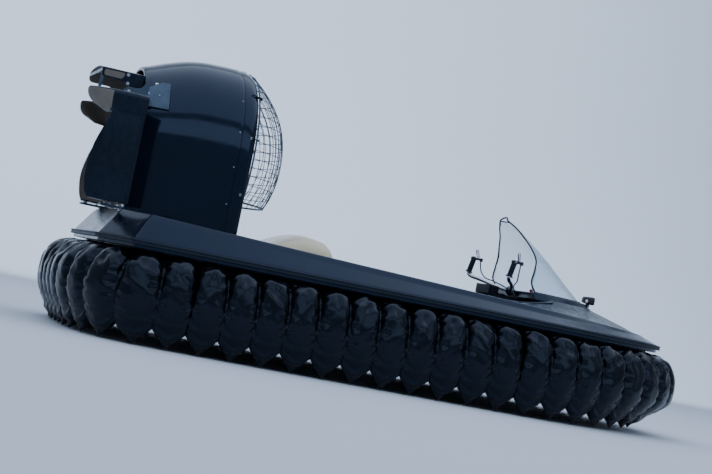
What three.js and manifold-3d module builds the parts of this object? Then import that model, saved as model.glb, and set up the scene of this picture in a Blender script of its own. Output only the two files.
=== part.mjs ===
// A light recreational hovercraft: one ducted fan at the stern, reversing buckets, a skirt of fingers and
// handlebar steering. Millimetres, X forward, Y to port, Z up, Z = 0 at the tips of the skirt fingers.
import * as THREE from 'three';
import Module from 'manifold-3d';
import { mergeVertices } from 'three/addons/utils/BufferGeometryUtils.js';

const wasm = await Module();
wasm.setup();

// Driving dimensions
const SEAT_GAP = 0.3; // left between pieces that rest on each other
const FORWARD = 24.8; // puts the origin under the middle of the overall box
const RIM = { stern: -1830, bow: 1830, halfBeam: 915, transomHalf: 470 };
const LIP = { bottom: 505, top: 552, inset: 15 };
const HULL = { bottom: 220, bottomInset: 190, topInset: 75, wellFloor: 290 };
const COCKPIT = { rear: -400, front: 950, half: 440, linerWall: 10, linerTop: 624 };
const ENGINE_BAY = { rear: -980, front: -440, half: 300 };
const FINGERS = 56;
const DUCT = { rear: -1700, front: -1060, seam: -1145, axis: 1125, base: 600 };
const FAN = { rear: -1305, front: -1205, tip: 442, hub: 85, shaft: 17.5, blades: 6 };
const CARRIER = { rear: -1475, front: -1360, hub: 75, vane: 10, vaneChord: 80 };
const BELT = { rear: -1052, front: -988, half: 62, head: 92, foot: 600 };
const SPLITTER = { rear: -1665, front: -1485, top: 870, thick: 16 };
const RUDDER = { x: -1580, y: 130, ahead: 35, aft: 155, bottom: 886, top: 1430, thick: 14, post: 8 };
const BUCKET = {
  x: -1800, y: 370, panel: 238, wall: 8, bottom: 722, top: 1325, flareBottom: 1205, flareRadius: 150,
  cap: 258, lobe: 34, pin: 11, pinReach: 8,
  stowed: 37.5, // degrees that the port bucket stands further open than the starboard one
};
const VANE = { rear: -1945, half: 240, edge: 1465, crown: 1485, thick: 6, rim: 55, lip: 26, gusset: 95 };
const SEAT = { rear: -365, front: 335, half: 195, baseTop: 430, top: 520, taper: 160, recess: 15 };
const POD = { rear: 690, front: 939.4, half: 110, top: 664, waist: 520 };
const SKID = { rear: -1250, front: 1150, inner: 430, outer: 490, bottom: 160, noseFrom: 1040, noseRise: 30 };
const ENGINE = { rear: -960, front: -520, half: 200, top: 600 };
const LAMP = { x: 1378, stem: 12, rear: 1342, front: 1408, half: 34, bottom: 722, top: 772 };
const ABOVE = 900; // over the deck everywhere
const STEERING = { x: 850, z: 690, tilt: 44.4 };

// Materials, one per finish
const finish = (color, roughness, metalness = 0) =>
  new THREE.MeshStandardMaterial({ color, roughness, metalness });
const MATERIAL = {
  gelcoat: finish(0x1b2733, 0.25),
  ductGelcoat: finish(0x0d1420, 0.12),
  rubber: finish(0x14171a, 0.7),
  fabric: finish(0x171c26, 0.45),
  cream: finish(0xd8cdb4, 0.45),
  vinyl: finish(0xcfc3a8, 0.6),
  steel: finish(0x8d949a, 0.35, 1),
  chrome: finish(0xc8ccd0, 0.15, 1),
  blackPlastic: finish(0x15171a, 0.5),
  clear: new THREE.MeshStandardMaterial({
    color: 0xcfe0ea, roughness: 0.05, transparent: true, opacity: 0.35,
  }),
};

// Solids
function solidOf(geometry) {
  const bare = geometry.clone();
  bare.deleteAttribute('normal');
  bare.deleteAttribute('uv');
  const merged = mergeVertices(bare, 1e-4);
  return new wasm.Manifold(new wasm.Mesh({
    numProp: 3,
    vertProperties: new Float32Array(merged.attributes.position.array),
    triVerts: new Uint32Array(merged.index.array),
  }));
}

function geometryOf(solid) {
  const mesh = solid.getMesh();
  const geometry = new THREE.BufferGeometry();
  geometry.setAttribute('position', new THREE.BufferAttribute(new Float32Array(mesh.vertProperties), 3));
  geometry.setIndex(new THREE.BufferAttribute(new Uint32Array(mesh.triVerts), 1));
  geometry.computeVertexNormals();
  return geometry;
}

const join = (...solids) => solids.reduce((all, one) => all.add(one));

// A closed skin through rings that have the same number of points. Its ends are filled by the outline flat.
function loft(rings, flat) {
  const count = rings[0].length;
  const points = rings.flat().flatMap((p) => [p.x, p.y, p.z]);
  const index = [];
  for (let r = 0; r + 1 < rings.length; r += 1) {
    for (let i = 0; i < count; i += 1) {
      const a = r * count + i;
      const b = r * count + ((i + 1) % count);
      index.push(a, b, b + count, a, b + count, a + count);
    }
  }
  const last = (rings.length - 1) * count;
  const clockwise = THREE.ShapeUtils.area(flat) < 0;
  for (const [a, b, c] of THREE.ShapeUtils.triangulateShape(flat, [])) {
    const face = clockwise ? [c, b, a] : [a, b, c];
    index.push(face[2], face[1], face[0], last + face[0], last + face[1], last + face[2]);
  }
  const geometry = new THREE.BufferGeometry();
  geometry.setAttribute('position', new THREE.Float32BufferAttribute(points, 3));
  geometry.setIndex(index);
  if (signedVolume(points, index) < 0) {
    geometry.setIndex(index.map((_, k) => index[k - (k % 3) + [0, 2, 1][k % 3]]));
  }
  return solidOf(geometry);
}

function signedVolume(points, index) {
  let total = 0;
  const at = (k) => new THREE.Vector3(...points.slice(3 * index[k], 3 * index[k] + 3));
  for (let k = 0; k < index.length; k += 3) {
    total += at(k).dot(at(k + 1).cross(at(k + 2)));
  }
  return total / 6;
}

function box(low, high) {
  const size = high.map((value, k) => value - low[k]);
  const geometry = new THREE.BoxGeometry(...size);
  geometry.translate(...low.map((value, k) => value + size[k] / 2));
  return solidOf(geometry);
}

function rod(from, to, radius, sides = 16, endRadius = radius) {
  const a = new THREE.Vector3(...from);
  const along = new THREE.Vector3(...to).sub(a);
  const geometry = new THREE.CylinderGeometry(endRadius, radius, along.length(), sides);
  geometry.translate(0, along.length() / 2, 0);
  const upright = new THREE.Vector3(0, 1, 0);
  geometry.applyQuaternion(new THREE.Quaternion().setFromUnitVectors(upright, along.normalize()));
  geometry.translate(a.x, a.y, a.z);
  return solidOf(geometry);
}

function tube(route, radius, sides, steps) {
  const points = route.map((p) => new THREE.Vector3(...p));
  const path = new THREE.CatmullRomCurve3(points, false, 'centripetal');
  const section = new THREE.Shape();
  for (let k = 0; k < sides; k += 1) {
    const turn = (2 * Math.PI * k) / sides;
    section[k ? 'lineTo' : 'moveTo'](radius * Math.cos(turn), radius * Math.sin(turn));
  }
  return solidOf(new THREE.ExtrudeGeometry(section, { steps, extrudePath: path, bevelEnabled: false }));
}

// A plate cut to an outline in the plan, between two heights.
function plate(outline, bottom, top) {
  const shape = new THREE.Shape(outline.map(([x, y]) => new THREE.Vector2(x, y)));
  const geometry = new THREE.ExtrudeGeometry(shape, { depth: top - bottom, bevelEnabled: false });
  geometry.translate(0, 0, bottom);
  return solidOf(geometry);
}

// The value at x on straight lines through a table of [x, value].
function along(table, x) {
  const next = table.findIndex(([at]) => at >= x);
  if (next <= 0) {
    return table[next < 0 ? table.length - 1 : 0][1];
  }
  const [x0, v0] = table[next - 1];
  const [x1, v1] = table[next];
  return v0 + ((v1 - v0) * (x - x0)) / (x1 - x0);
}

const pointOnArc = (x, y, radius, degrees) => [
  x + radius * Math.cos(THREE.MathUtils.degToRad(degrees)),
  y + radius * Math.sin(THREE.MathUtils.degToRad(degrees)),
];

const arcPoints = (x, y, radius, from, to, steps) =>
  Array.from({ length: steps + 1 }, (_, k) => pointOnArc(x, y, radius, from + ((to - from) * k) / steps));

const mirrored = (solid) => solid.mirror([0, 1, 0]);

// The rim's plan. The port half runs from the bow's tip aft.
const BOW_CURVE = new THREE.CubicBezierCurve(
  new THREE.Vector2(RIM.bow, 0),
  new THREE.Vector2(RIM.bow, 560),
  new THREE.Vector2(1230, RIM.halfBeam),
  new THREE.Vector2(600, RIM.halfBeam),
);
const QUARTER_CORNERS = [[-1330, RIM.halfBeam], [-1690, 870], [RIM.stern, RIM.transomHalf]];
const SIDE_BREAKS = [150, -500, -1000];

// The rim with its sharp corners, for the deck and the rail.
function rimCorners() {
  const port = [
    ...BOW_CURVE.getPoints(9),
    ...SIDE_BREAKS.map((x) => new THREE.Vector2(x, RIM.halfBeam)),
    ...QUARTER_CORNERS.map(([x, y]) => new THREE.Vector2(x, y)),
  ];
  const starboard = port.slice(1).reverse().map((p) => new THREE.Vector2(p.x, -p.y));
  return [...port, ...starboard];
}

// The same outline moved inwards by a distance, with mitred corners.
function inset(outline, distance) {
  return outline.map((p, k) => {
    const before = outline[(k + outline.length - 1) % outline.length];
    const after = outline[(k + 1) % outline.length];
    const a = p.clone().sub(before).normalize();
    const b = after.clone().sub(p).normalize();
    const inward = new THREE.Vector2(-a.y - b.y, a.x + b.x).normalize();
    const lean = inward.dot(new THREE.Vector2(-a.y, a.x));
    return p.clone().addScaledVector(inward, distance / lean);
  });
}

// The rim with rounded quarters as evenly spaced stations, for the hull's sides and the skirt.
function rimStations(count) {
  const path = new THREE.Path();
  path.moveTo(RIM.bow, 0);
  path.bezierCurveTo(RIM.bow, 560, 1230, RIM.halfBeam, 600, RIM.halfBeam);
  const corners = [
    ...QUARTER_CORNERS,
    ...QUARTER_CORNERS.slice().reverse().map(([x, y]) => [x, -y]),
    [600, -RIM.halfBeam],
  ].map(([x, y]) => new THREE.Vector2(x, y));
  let from = new THREE.Vector2(600, RIM.halfBeam);
  corners.slice(0, -1).forEach((corner, k) => {
    const round = k === 0 || k === 5 ? 150 : 195;
    const start = corner.clone().add(from.clone().sub(corner).setLength(round));
    const end = corner.clone().add(corners[k + 1].clone().sub(corner).setLength(round));
    path.lineTo(start.x, start.y);
    path.quadraticCurveTo(corner.x, corner.y, end.x, end.y);
    from = corner;
  });
  path.lineTo(600, -RIM.halfBeam);
  path.bezierCurveTo(1230, -RIM.halfBeam, RIM.bow, -560, RIM.bow, 0);
  const points = path.getSpacedPoints(count).slice(0, count);
  return points.map((p, k) => {
    const tangent = points[(k + 1) % count].clone().sub(points[(k + count - 1) % count]).normalize();
    return { p, tangent, out: new THREE.Vector2(tangent.y, -tangent.x) };
  });
}

const STATIONS = rimStations(2 * FINGERS);
const CORNERS = rimCorners();
const stationPoint = (s, outward, z) =>
  new THREE.Vector3(s.p.x + s.out.x * outward, s.p.y + s.out.y * outward, z);

// Hull and deck
const hullBlank = loft(
  [[-HULL.bottomInset, HULL.bottom], [-HULL.topInset, LIP.bottom - SEAT_GAP]].map(([outward, z]) =>
    STATIONS.map((s) => stationPoint(s, outward, z))),
  STATIONS.map((s) => s.p),
);
const cockpitWell = box(
  [COCKPIT.rear, -COCKPIT.half, HULL.wellFloor],
  [COCKPIT.front, COCKPIT.half, ABOVE],
);
const engineWell = box(
  [ENGINE_BAY.rear, -ENGINE_BAY.half, HULL.wellFloor],
  [ENGINE_BAY.front, ENGINE_BAY.half, ABOVE],
);

// Heights of the deck's rings along the craft, as [x, height]
const FACET_TOP = [[-1830, 672], [-1100, 645], [150, 609], [900, 590], [1735, 579]];
const CAP_RISE = [[-1830, 33], [600, 32], [1200, 22], [1705, 9]];
const DECK_OUTER = [[-1830, 652], [-900, 652], [150, 632], [900, 636], [1500, 650]];
const DECK_INNER = [[-1830, 650], [-900, 650], [150, 628], [700, 636], [1000, 688], [1360, 690]];
const capTop = (x) => along(FACET_TOP, x) + along(CAP_RISE, x);
const DECK_RINGS = [ // inset from the rim, height at x
  [LIP.inset, () => LIP.bottom],
  [LIP.inset, () => LIP.top],
  [95, (x) => along(FACET_TOP, x)],
  [125, capTop],
  [330, (x) => along(DECK_OUTER, x)],
  [470, (x) => along(DECK_INNER, x)],
];
const deckBlank = loft(
  DECK_RINGS.map(([distance, height]) =>
    inset(CORNERS, distance).map((p) => new THREE.Vector3(p.x, p.y, height(p.x)))),
  CORNERS,
);

// Cuts a piece to the deck's surface and lifts it by the seat gap.
const seatedOnDeck = (solid) => solid.subtract(deckBlank).translate([0, 0, SEAT_GAP]);

// Rubber rail round the lip
const RAIL = { proud: 8, bottom: 523, height: 26 };

function railRing() {
  const shape = new THREE.Shape(inset(CORNERS, -RAIL.proud));
  shape.holes.push(new THREE.Path(inset(CORNERS, LIP.inset - SEAT_GAP)));
  const geometry = new THREE.ExtrudeGeometry(shape, { depth: RAIL.height, bevelEnabled: false });
  geometry.translate(0, 0, RAIL.bottom);
  return solidOf(geometry);
}

function linerTub() {
  const { rear, front, half, linerWall, linerTop } = COCKPIT;
  const outer = box(
    [rear + SEAT_GAP, -half + SEAT_GAP, HULL.wellFloor + SEAT_GAP],
    [front - SEAT_GAP, half - SEAT_GAP, linerTop],
  );
  const inner = box(
    [rear + linerWall, -half + linerWall, HULL.wellFloor + linerWall],
    [front - linerWall, half - linerWall, ABOVE],
  );
  return outer.subtract(inner);
}

// Skirt: the section through a finger's crest and through the seam between two fingers, as [outward, height]
const HULL_SIDE = [[-76.5, 500], [-189.6, HULL.bottom]];
const CREST = [[-5, 500], [70, 478], [130, 400], [150, 300], [130, 190], [85, 80], [45, 0], [-60, 90]];
const SEAM = [[-5, 500], [45, 478], [88, 400], [100, 300], [82, 195], [45, 120], [22, 75], [-70, 130]];

function fingerSection(station, isCrest, shift) {
  const fullness = 0.8 + (station.out.x > 0 ? 0.27 : 0.45) * Math.abs(station.out.x);
  const table = isCrest ? CREST : SEAM;
  const section = [HULL_SIDE[0], ...table.map(([o, z]) => [o > 0 ? o * fullness : o, z]), HULL_SIDE[1]];
  return section.map(([outward, z]) => {
    const point = stationPoint(station, outward, z);
    return point.add(new THREE.Vector3(station.tangent.x * shift, station.tangent.y * shift, 0));
  });
}

function skirtRun(first, last) {
  const rings = [];
  for (let k = first; k <= last; k += 1) {
    const shift = (k === first ? SEAT_GAP / 2 : 0) - (k === last ? SEAT_GAP / 2 : 0);
    rings.push(fingerSection(STATIONS[(k + 2 * FINGERS) % (2 * FINGERS)], k % 2 !== 0, shift));
  }
  const flat = [HULL_SIDE[0], ...SEAM, HULL_SIDE[1]].map(([o, z]) => new THREE.Vector2(o, z));
  return loft(rings, flat);
}

// The stations between fingers nearest to the ends of the straight sides
const seamNear = (x) => STATIONS.slice(0, FINGERS)
  .map((s, k) => [Math.abs(s.p.x - x), k])
  .filter(([, k]) => k % 2 === 0)
  .sort((a, b) => a[0] - b[0])[0][1];
const SIDE_FRONT = seamNear(650);
const SIDE_REAR = seamNear(-1280);
const ROUND = 2 * FINGERS;

// Duct: radii along the craft, as [x, radius]
const BORE = [
  [-1720, 388], [-1600, 415], [-1450, 446], [-1330, 452], [-1200, 452], [-1150, 455], [-1105, 464],
  [-1075, 482], [-1050, 502],
];
const SHELL = [
  [-1700, 412], [-1645, 432], [-1560, 466], [-1420, 508], [-1320, 521], [-1200, 524], [-1110, 518],
  [-1075, 508], [-1060, 494],
];

function boreSolid(less = 0) {
  const profile = BORE.map(([x, r]) => new THREE.Vector2(r - less, x));
  const closed = [new THREE.Vector2(0, BORE[0][0]), ...profile, new THREE.Vector2(0, BORE.at(-1)[0])];
  const geometry = new THREE.LatheGeometry(closed, 40);
  geometry.rotateZ(-Math.PI / 2);
  geometry.translate(0, 0, DUCT.axis);
  return solidOf(geometry);
}

function shellSolid(more = 0) {
  const steps = 24;
  const ring = ([x, r]) => {
    const arch = Array.from({ length: steps + 1 }, (_, k) => {
      const turn = (Math.PI * k) / steps;
      return new THREE.Vector3(x, (r + more) * Math.cos(turn), DUCT.axis + (r + more) * Math.sin(turn));
    });
    return [...arch, new THREE.Vector3(x, -r - more, DUCT.base), new THREE.Vector3(x, r + more, DUCT.base)];
  };
  const rings = SHELL.map(ring);
  return loft(rings, rings[0].map((p) => new THREE.Vector2(p.y, p.z)));
}

const bore = boreSolid();
const boreFit = boreSolid(SEAT_GAP);
const ductWhole = seatedOnDeck(shellSolid().subtract(bore));
const ductHalf = (low, high) => ductWhole.intersect(box([low, -900, 0], [high, 900, 2000]));

// Guard: welded wires over the inlet. Its bulge ahead of the inlet falls off from the middle to its rim.
const GUARD = {
  rim: 500, depth: 262, wire: 3.5, hoop: 6, sill: 5, spacing: 125, bottom: 872, x: DUCT.front + 6.3,
};
const guardX = (y, z) => GUARD.x + GUARD.depth * (1 - (Math.hypot(y, z - DUCT.axis) / GUARD.rim) ** 2.6);

function guardWires() {
  const across = [-3, -2, -1, 0, 1, 2, 3].map((k) => k * GUARD.spacing);
  const reach = (offset) => Math.sqrt(GUARD.rim ** 2 - offset ** 2);
  const steps = 8;
  const wires = [];
  for (const y of across) {
    const low = Math.max(GUARD.bottom, DUCT.axis - reach(y));
    const high = DUCT.axis + reach(y);
    const route = Array.from({ length: steps + 1 }, (_, k) => low + ((high - low) * k) / steps);
    wires.push(tube(route.map((z) => [guardX(y, z), y, z]), GUARD.wire, 4, steps));
  }
  for (const rise of across.filter((offset) => DUCT.axis + offset > GUARD.bottom)) {
    const z = DUCT.axis + rise;
    const route = Array.from({ length: steps + 1 }, (_, k) => reach(rise) * ((2 * k) / steps - 1));
    wires.push(tube(route.map((y) => [guardX(y, z), y, z]), GUARD.wire, 4, steps));
  }
  const lowReach = reach(GUARD.bottom - DUCT.axis);
  const lowRoute = Array.from({ length: steps + 1 }, (_, k) => lowReach * ((2 * k) / steps - 1));
  wires.push(tube(lowRoute.map((y) => [guardX(y, GUARD.bottom), y, GUARD.bottom]), GUARD.sill, 4, steps));
  const below = THREE.MathUtils.radToDeg(Math.asin((DUCT.axis - GUARD.bottom) / GUARD.rim));
  const hoop = arcPoints(0, DUCT.axis, GUARD.rim, -below, 180 + below, 24).map(([y, z]) => [GUARD.x, y, z]);
  wires.push(tube(hoop, GUARD.hoop, 4, 32));
  return join(...wires);
}

// Fan: blades twist from hub to tip, as [radius, chord, pitch in degrees, thickness]
const BLADE = [[70, 120, 52, 20], [250, 130, 34, 14], [FAN.tip, 95, 24, 8]];

function fanBlade(turn) {
  const middle = (FAN.rear + FAN.front) / 2;
  const rings = BLADE.map(([radius, chord, pitch, thick]) => {
    const a = THREE.MathUtils.degToRad(pitch);
    const outline = [[-0.5, 0], [-0.2, 0.5], [0.25, 0.45], [0.5, 0], [0.2, -0.4], [-0.25, -0.5]];
    return outline.map(([c, t]) => new THREE.Vector3(
      middle + c * chord * Math.sin(a) + t * thick * Math.cos(a),
      c * chord * Math.cos(a) - t * thick * Math.sin(a),
      radius,
    ));
  });
  const flat = rings[0].map((p) => new THREE.Vector2(p.x, p.y));
  return loft(rings, flat).rotate([turn, 0, 0]).translate([0, 0, DUCT.axis]);
}

const onAxis = (x) => [x, 0, DUCT.axis];
const HUB = { rear: FAN.rear + 8, front: FAN.front - 8, nose: FAN.front + 22, noseRadius: 45 };

function fanSolid() {
  const blades = Array.from({ length: FAN.blades }, (_, k) => fanBlade((360 * k) / FAN.blades));
  const hub = rod(onAxis(HUB.rear), onAxis(HUB.front), FAN.hub, 24);
  const nose = rod(onAxis(HUB.front), onAxis(HUB.nose), FAN.hub, 24, HUB.noseRadius);
  const journal = rod(onAxis(CARRIER.front + SEAT_GAP), onAxis(HUB.rear), FAN.shaft);
  return join(hub, nose, journal, ...blades);
}

// The shaft from the belt's pulley to the hub's nose
const fanShaft = () => rod(onAxis(HUB.nose + SEAT_GAP), onAxis(BELT.rear - SEAT_GAP), FAN.shaft);

function beltCover() {
  const shoulder = 60;
  const lean = Math.atan2(shoulder, BELT.head);
  const outline = new THREE.Shape();
  outline.moveTo(-BELT.half, BELT.foot);
  outline.lineTo(BELT.half, BELT.foot);
  outline.lineTo(BELT.head, DUCT.axis - shoulder);
  outline.absarc(0, DUCT.axis, Math.hypot(BELT.head, shoulder), -lean, Math.PI + lean, false);
  const geometry = new THREE.ExtrudeGeometry(outline, {
    depth: BELT.front - BELT.rear, bevelEnabled: false, curveSegments: 14,
  });
  geometry.rotateX(Math.PI / 2);
  geometry.rotateZ(Math.PI / 2);
  geometry.translate(BELT.rear, 0, 0);
  return seatedOnDeck(solidOf(geometry));
}

function fanCarrier() {
  const { rear, front, vane, vaneChord } = CARRIER;
  const middle = (rear + front) / 2;
  const beyond = 600; // past the bore, which trims the vanes
  const blank = box([middle - vaneChord / 2, -vane / 2, 40], [middle + vaneChord / 2, vane / 2, beyond]);
  const count = 5;
  const vanes = Array.from({ length: count }, (_, k) =>
    blank.rotate([(360 * k) / count, 0, 0]).translate([0, 0, DUCT.axis]));
  return join(rod(onAxis(rear), onAxis(front), CARRIER.hub, 24), ...vanes).intersect(boreFit);
}

function liftSplitter() {
  const { rear, front, top, thick } = SPLITTER;
  const shelf = box([rear, -600, top - thick], [front, 600, top]);
  const back = box([rear, -600, 500], [rear + thick, 600, top]);
  return join(shelf, back).intersect(boreFit);
}

function rudderPort() {
  const { x, y, ahead, aft, bottom, top, thick, post } = RUDDER;
  const half = [[x + ahead, 0], [x + ahead - 22, thick / 2], [x - 60, thick / 2], [x - aft, 2]];
  const outline = [...half, ...half.slice(1).reverse().map(([px, py]) => [px, -py])];
  const blade = plate(outline.map(([px, py]) => [px, y + py]), bottom, top);
  const postTop = top + 60;
  return blade.add(rod([x, y, SPLITTER.top + SEAT_GAP], [x, y, postTop], post));
}

// Reversing bucket on the starboard side, open: a curved side panel with a flared hood on top and a plate
// below. Its corners are degrees round its pivot. The panel's free edge is given as [height, degrees].
const PANEL_FRONT = 292;
const FREE_EDGE = [[722, 235], [755, 229], [875, 225], [1000, 230], [1100, 238], [1190, 246], [1319, 247]];
const HOOD_TURNS = [205, 215, 225, 247, 270, 292];

function bucketStarboard() {
  const { x, panel, wall, bottom, top, flareBottom, flareRadius, cap, lobe, pin, pinReach } = BUCKET;
  const y = -BUCKET.y;
  const arc = (radius, turns) => turns.map((turn) => pointOnArc(x, y, radius, turn));
  const turnsFrom = (edge) => [0, 1, 2, 3].map((k) => edge + ((PANEL_FRONT - edge) * k) / 3);
  const sideRing = ([z, edge]) => [
    ...arc(panel, turnsFrom(edge)), ...arc(panel - wall, turnsFrom(edge).reverse()),
  ].map(([px, py]) => new THREE.Vector3(px, py, z));
  const side = loft(
    FREE_EDGE.map(sideRing),
    sideRing(FREE_EDGE[0]).map((p) => new THREE.Vector2(p.x, p.y)),
  );
  const lidOutline = [...arc(cap, HOOD_TURNS), ...arcPoints(x, y, lobe, 310, 530, 6)];
  const lid = plate(lidOutline, top - wall, top);
  const floorOutline = [...arc(panel, turnsFrom(FREE_EDGE[0][1])), ...arcPoints(x, y, lobe, 310, 560, 6)];
  const floor = plate(floorOutline, bottom, bottom + wall);
  const flareTurns = HOOD_TURNS.slice(0, 4);
  const flareRing = (radius, z) => [...arc(radius, flareTurns), ...arc(20, [247, 195])]
    .map(([px, py]) => new THREE.Vector3(px, py, z));
  const flat = flareRing(cap, 0).map((p) => new THREE.Vector2(p.x, p.y));
  const flareOuter = loft([flareRing(flareRadius, flareBottom), flareRing(cap - 1, top - 4)], flat);
  const hollow = [flareRing(flareRadius - 12, flareBottom - 12), flareRing(cap - 13, top - 16)];
  const flare = flareOuter.subtract(loft(hollow, flat).translate([4, 0, 0]));
  const topPin = rod([x, y, top - 4], [x, y, top + pinReach - SEAT_GAP], pin);
  const lowPin = rod([x, y, bottom - 10 + SEAT_GAP], [x, y, bottom + 4], pin);
  return join(side, lid, floor, flare, topPin, lowPin);
}

// Turns the port bucket forward about its pivot, alongside the duct
const stowed = (solid) => solid.translate([-BUCKET.x, -BUCKET.y, 0])
  .rotate([0, 0, -BUCKET.stowed])
  .translate([BUCKET.x, BUCKET.y, 0]);

// A bolted pad on the duct's shoulder that wraps the outlet's edge and carries the bucket's upper pivot arm
function shoulderBracketStarboard() {
  const { x, y, top } = BUCKET;
  const behind = DUCT.rear - 16;
  const armLow = top + 8;
  const outer = shellSolid(7).add(shellSolid(7).translate([behind - DUCT.rear, 0, 0]));
  const clear = shellSolid(0.5).add(shellSolid(0.5).translate([-SEAT_GAP, 0, 0]));
  const wrap = outer.subtract(clear)
    .intersect(box([behind, -y - 86, armLow - 43], [DUCT.rear + 130, -y + 40, armLow + 110]))
    .subtract(box([behind - 1, -y - 200, 0], [DUCT.rear, 0, armLow]));
  const arm = box([x - 24, -y - 82, armLow], [DUCT.rear - SEAT_GAP, -y + 26, armLow + 12]);
  return wrap.add(arm);
}

function lowerBracketStarboard() {
  const top = BUCKET.bottom - 10;
  const arm = box([BUCKET.x - 30, -BUCKET.y - 32, top - 12], [DUCT.rear - SEAT_GAP, -BUCKET.y + 32, top]);
  const foot = box([DUCT.rear - 14, -BUCKET.y - 32, top - 40], [DUCT.rear - SEAT_GAP, -BUCKET.y + 32, top]);
  return arm.add(foot).subtract(deckBlank.translate([0, 0, SEAT_GAP]));
}

function outletVane() {
  const { rear, half, edge, crown, thick, rim, lip, gusset } = VANE;
  const front = DUCT.rear - SEAT_GAP;
  const arch = (z) => [[-half, edge], [-half / 2, crown - 4], [0, crown], [half / 2, crown - 4], [half, edge]]
    .map(([y, top]) => [y, top + z]);
  const section = [...arch(0), ...arch(-thick).reverse()];
  const ring = (x) => section.map(([y, z]) => new THREE.Vector3(x, y, z));
  const skin = loft([ring(rear), ring(front)], section.map(([y, z]) => new THREE.Vector2(y, z)));
  const cheeks = [-1, 1].map((side) => {
    const low = side > 0 ? half - thick : -half;
    const cheek = box([rear, low, edge - rim], [front, low + thick, edge - 1]);
    return cheek.add(box([front - gusset, low, 1380], [front, low + thick, edge - 1]));
  });
  const stopArm = box([rear - 8, -half, BUCKET.top + 12], [rear + 22, thick - half, edge - 1]);
  const rearLip = box([rear, -half, edge - lip], [rear + thick, half, edge - 1]);
  return join(skin, rearLip, stopArm, ...cheeks);
}

// Engine cover: a moulded dome with a low tail, as [x, height over the aft deck, half width]
const COVER = { wall: 8, deck: 600, skirt: 50, squareness: 0.6, rear: -970, front: -410 };
const COVER_STATIONS = [
  [-978, 14, 240], [-860, 30, 285], [-770, 46, 305], [-681, 94, 315], [-580, 123, 318], [-470, 112, 310],
  [-420, 78, 295], [-402, 30, 280],
];

function coverShell() {
  const { wall, deck, skirt, squareness, rear, front } = COVER;
  const steps = 10;
  const ring = (less) => ([x, rise, half]) => Array.from({ length: steps + 1 }, (_, k) => {
    const turn = (Math.PI * k) / steps;
    const y = Math.sign(Math.cos(turn)) * Math.abs(Math.cos(turn)) ** squareness * (half - less);
    return new THREE.Vector3(x, y, deck + (skirt + rise - less) * Math.sin(turn) ** squareness);
  });
  const flat = ring(0)(COVER_STATIONS[3]).map((p) => new THREE.Vector2(p.y, p.z));
  const outer = loft(COVER_STATIONS.map(ring(0)), flat);
  const inner = loft(COVER_STATIONS.map(ring(wall)), flat);
  const within = box([rear, -RIM.halfBeam, 0], [front, RIM.halfBeam, ABOVE]);
  return seatedOnDeck(outer.subtract(inner.intersect(within)));
}

function seatCushion() {
  const levels = [[0, SEAT.baseTop + SEAT_GAP], [-5, 480], [10, 508], [40, SEAT.top]]; // inset, height
  const plan = (less) => {
    const { rear, front, half, taper } = SEAT;
    const nose = half - 85;
    return [
      [rear + less, half - less], [rear + less, less - half], [front - taper, less - half],
      [front - less, less - nose], [front - less, nose - less], [front - taper, half - less],
    ];
  };
  const rings = levels.map(([less, z]) => plan(less).map(([x, y]) => new THREE.Vector3(x, y, z)));
  return loft(rings, plan(0).map(([x, y]) => new THREE.Vector2(x, y)));
}

const COCKPIT_FLOOR = HULL.wellFloor + COCKPIT.linerWall + SEAT_GAP;

function seatBase() {
  const { rear, front, half, baseTop, taper, recess } = SEAT;
  const nose = half - 100;
  const starboard = [[rear + 10, recess - half], [front - taper - 5, recess - half], [front - recess, -nose]];
  const port = starboard.slice().reverse().map(([x, y]) => [x, -y]);
  return plate([...starboard, ...port], COCKPIT_FLOOR, baseTop);
}

// Raised rear of the console, with its front corners cut back for the swing of the bar
const DASH = { rear: 654, front: 738, half: 107, corner: 47, foot: 634, lip: 662, top: 716 };

function consolePod() {
  const ring = (z, rear, half) => [[rear, half], [rear, -half], [POD.front, -half], [POD.front, half]]
    .map(([x, y]) => new THREE.Vector3(x, y, z));
  const body = [
    ring(COCKPIT_FLOOR, POD.rear + 60, POD.half + 30),
    ring(POD.waist, POD.rear + 6, POD.half + 15),
    ring(POD.top, POD.rear, POD.half),
  ];
  const dashRing = (z, rear) => {
    const { front, half, corner } = DASH;
    const starboard = [[rear, -half], [front - corner, -half], [front, corner - half]];
    const port = starboard.slice().reverse().map(([x, y]) => [x, -y]);
    return [...starboard, ...port].map(([x, y]) => new THREE.Vector3(x, y, z));
  };
  const dash = [dashRing(DASH.foot, POD.rear), dashRing(DASH.lip, DASH.rear), dashRing(DASH.top, DASH.rear)];
  const solids = [body, dash].map((rings) => loft(rings, rings[0].map((p) => new THREE.Vector2(p.x, p.y))));
  return join(...solids);
}

// Cowl under the windshield, in plan as [x, half width]
const COWL_PLAN = [[862, 318], [960, 326], [1120, 268], [1260, 160], [1345, 62]];
const COWL = { top: 716.7, base: 560, rear: 800, kneeTop: 676, notch: 72, notchFront: 908 };

function cowlBlock() {
  const outline = [...COWL_PLAN, ...COWL_PLAN.slice().reverse().map(([x, y]) => [x, -y])];
  const block = plate(outline, COWL.base, COWL.top);
  const knee = box([COWL.rear, -RIM.halfBeam, 0], [COCKPIT.front + 0.5, RIM.halfBeam, COWL.kneeTop]);
  const columnNotch = box([COWL.rear, -COWL.notch, 0], [COWL.notchFront, COWL.notch, ABOVE]);
  return seatedOnDeck(block.subtract(knee).subtract(columnNotch));
}

// Windshield rows from its foot to its top, as [height, x of the ridge, x of the side edges, half width]
const SCREEN = [
  [717.3, 1306, 868, 296], [770, 1236, 842, 304], [840, 1142, 846, 306], [903, 1058, 848, 298],
  [969, 968, 824, 256], [1030, 885, 790, 190], [1082, 815, 752, 132], [1125, 750, 718, 50],
];
const SCREEN_WALL = 5;

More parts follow.
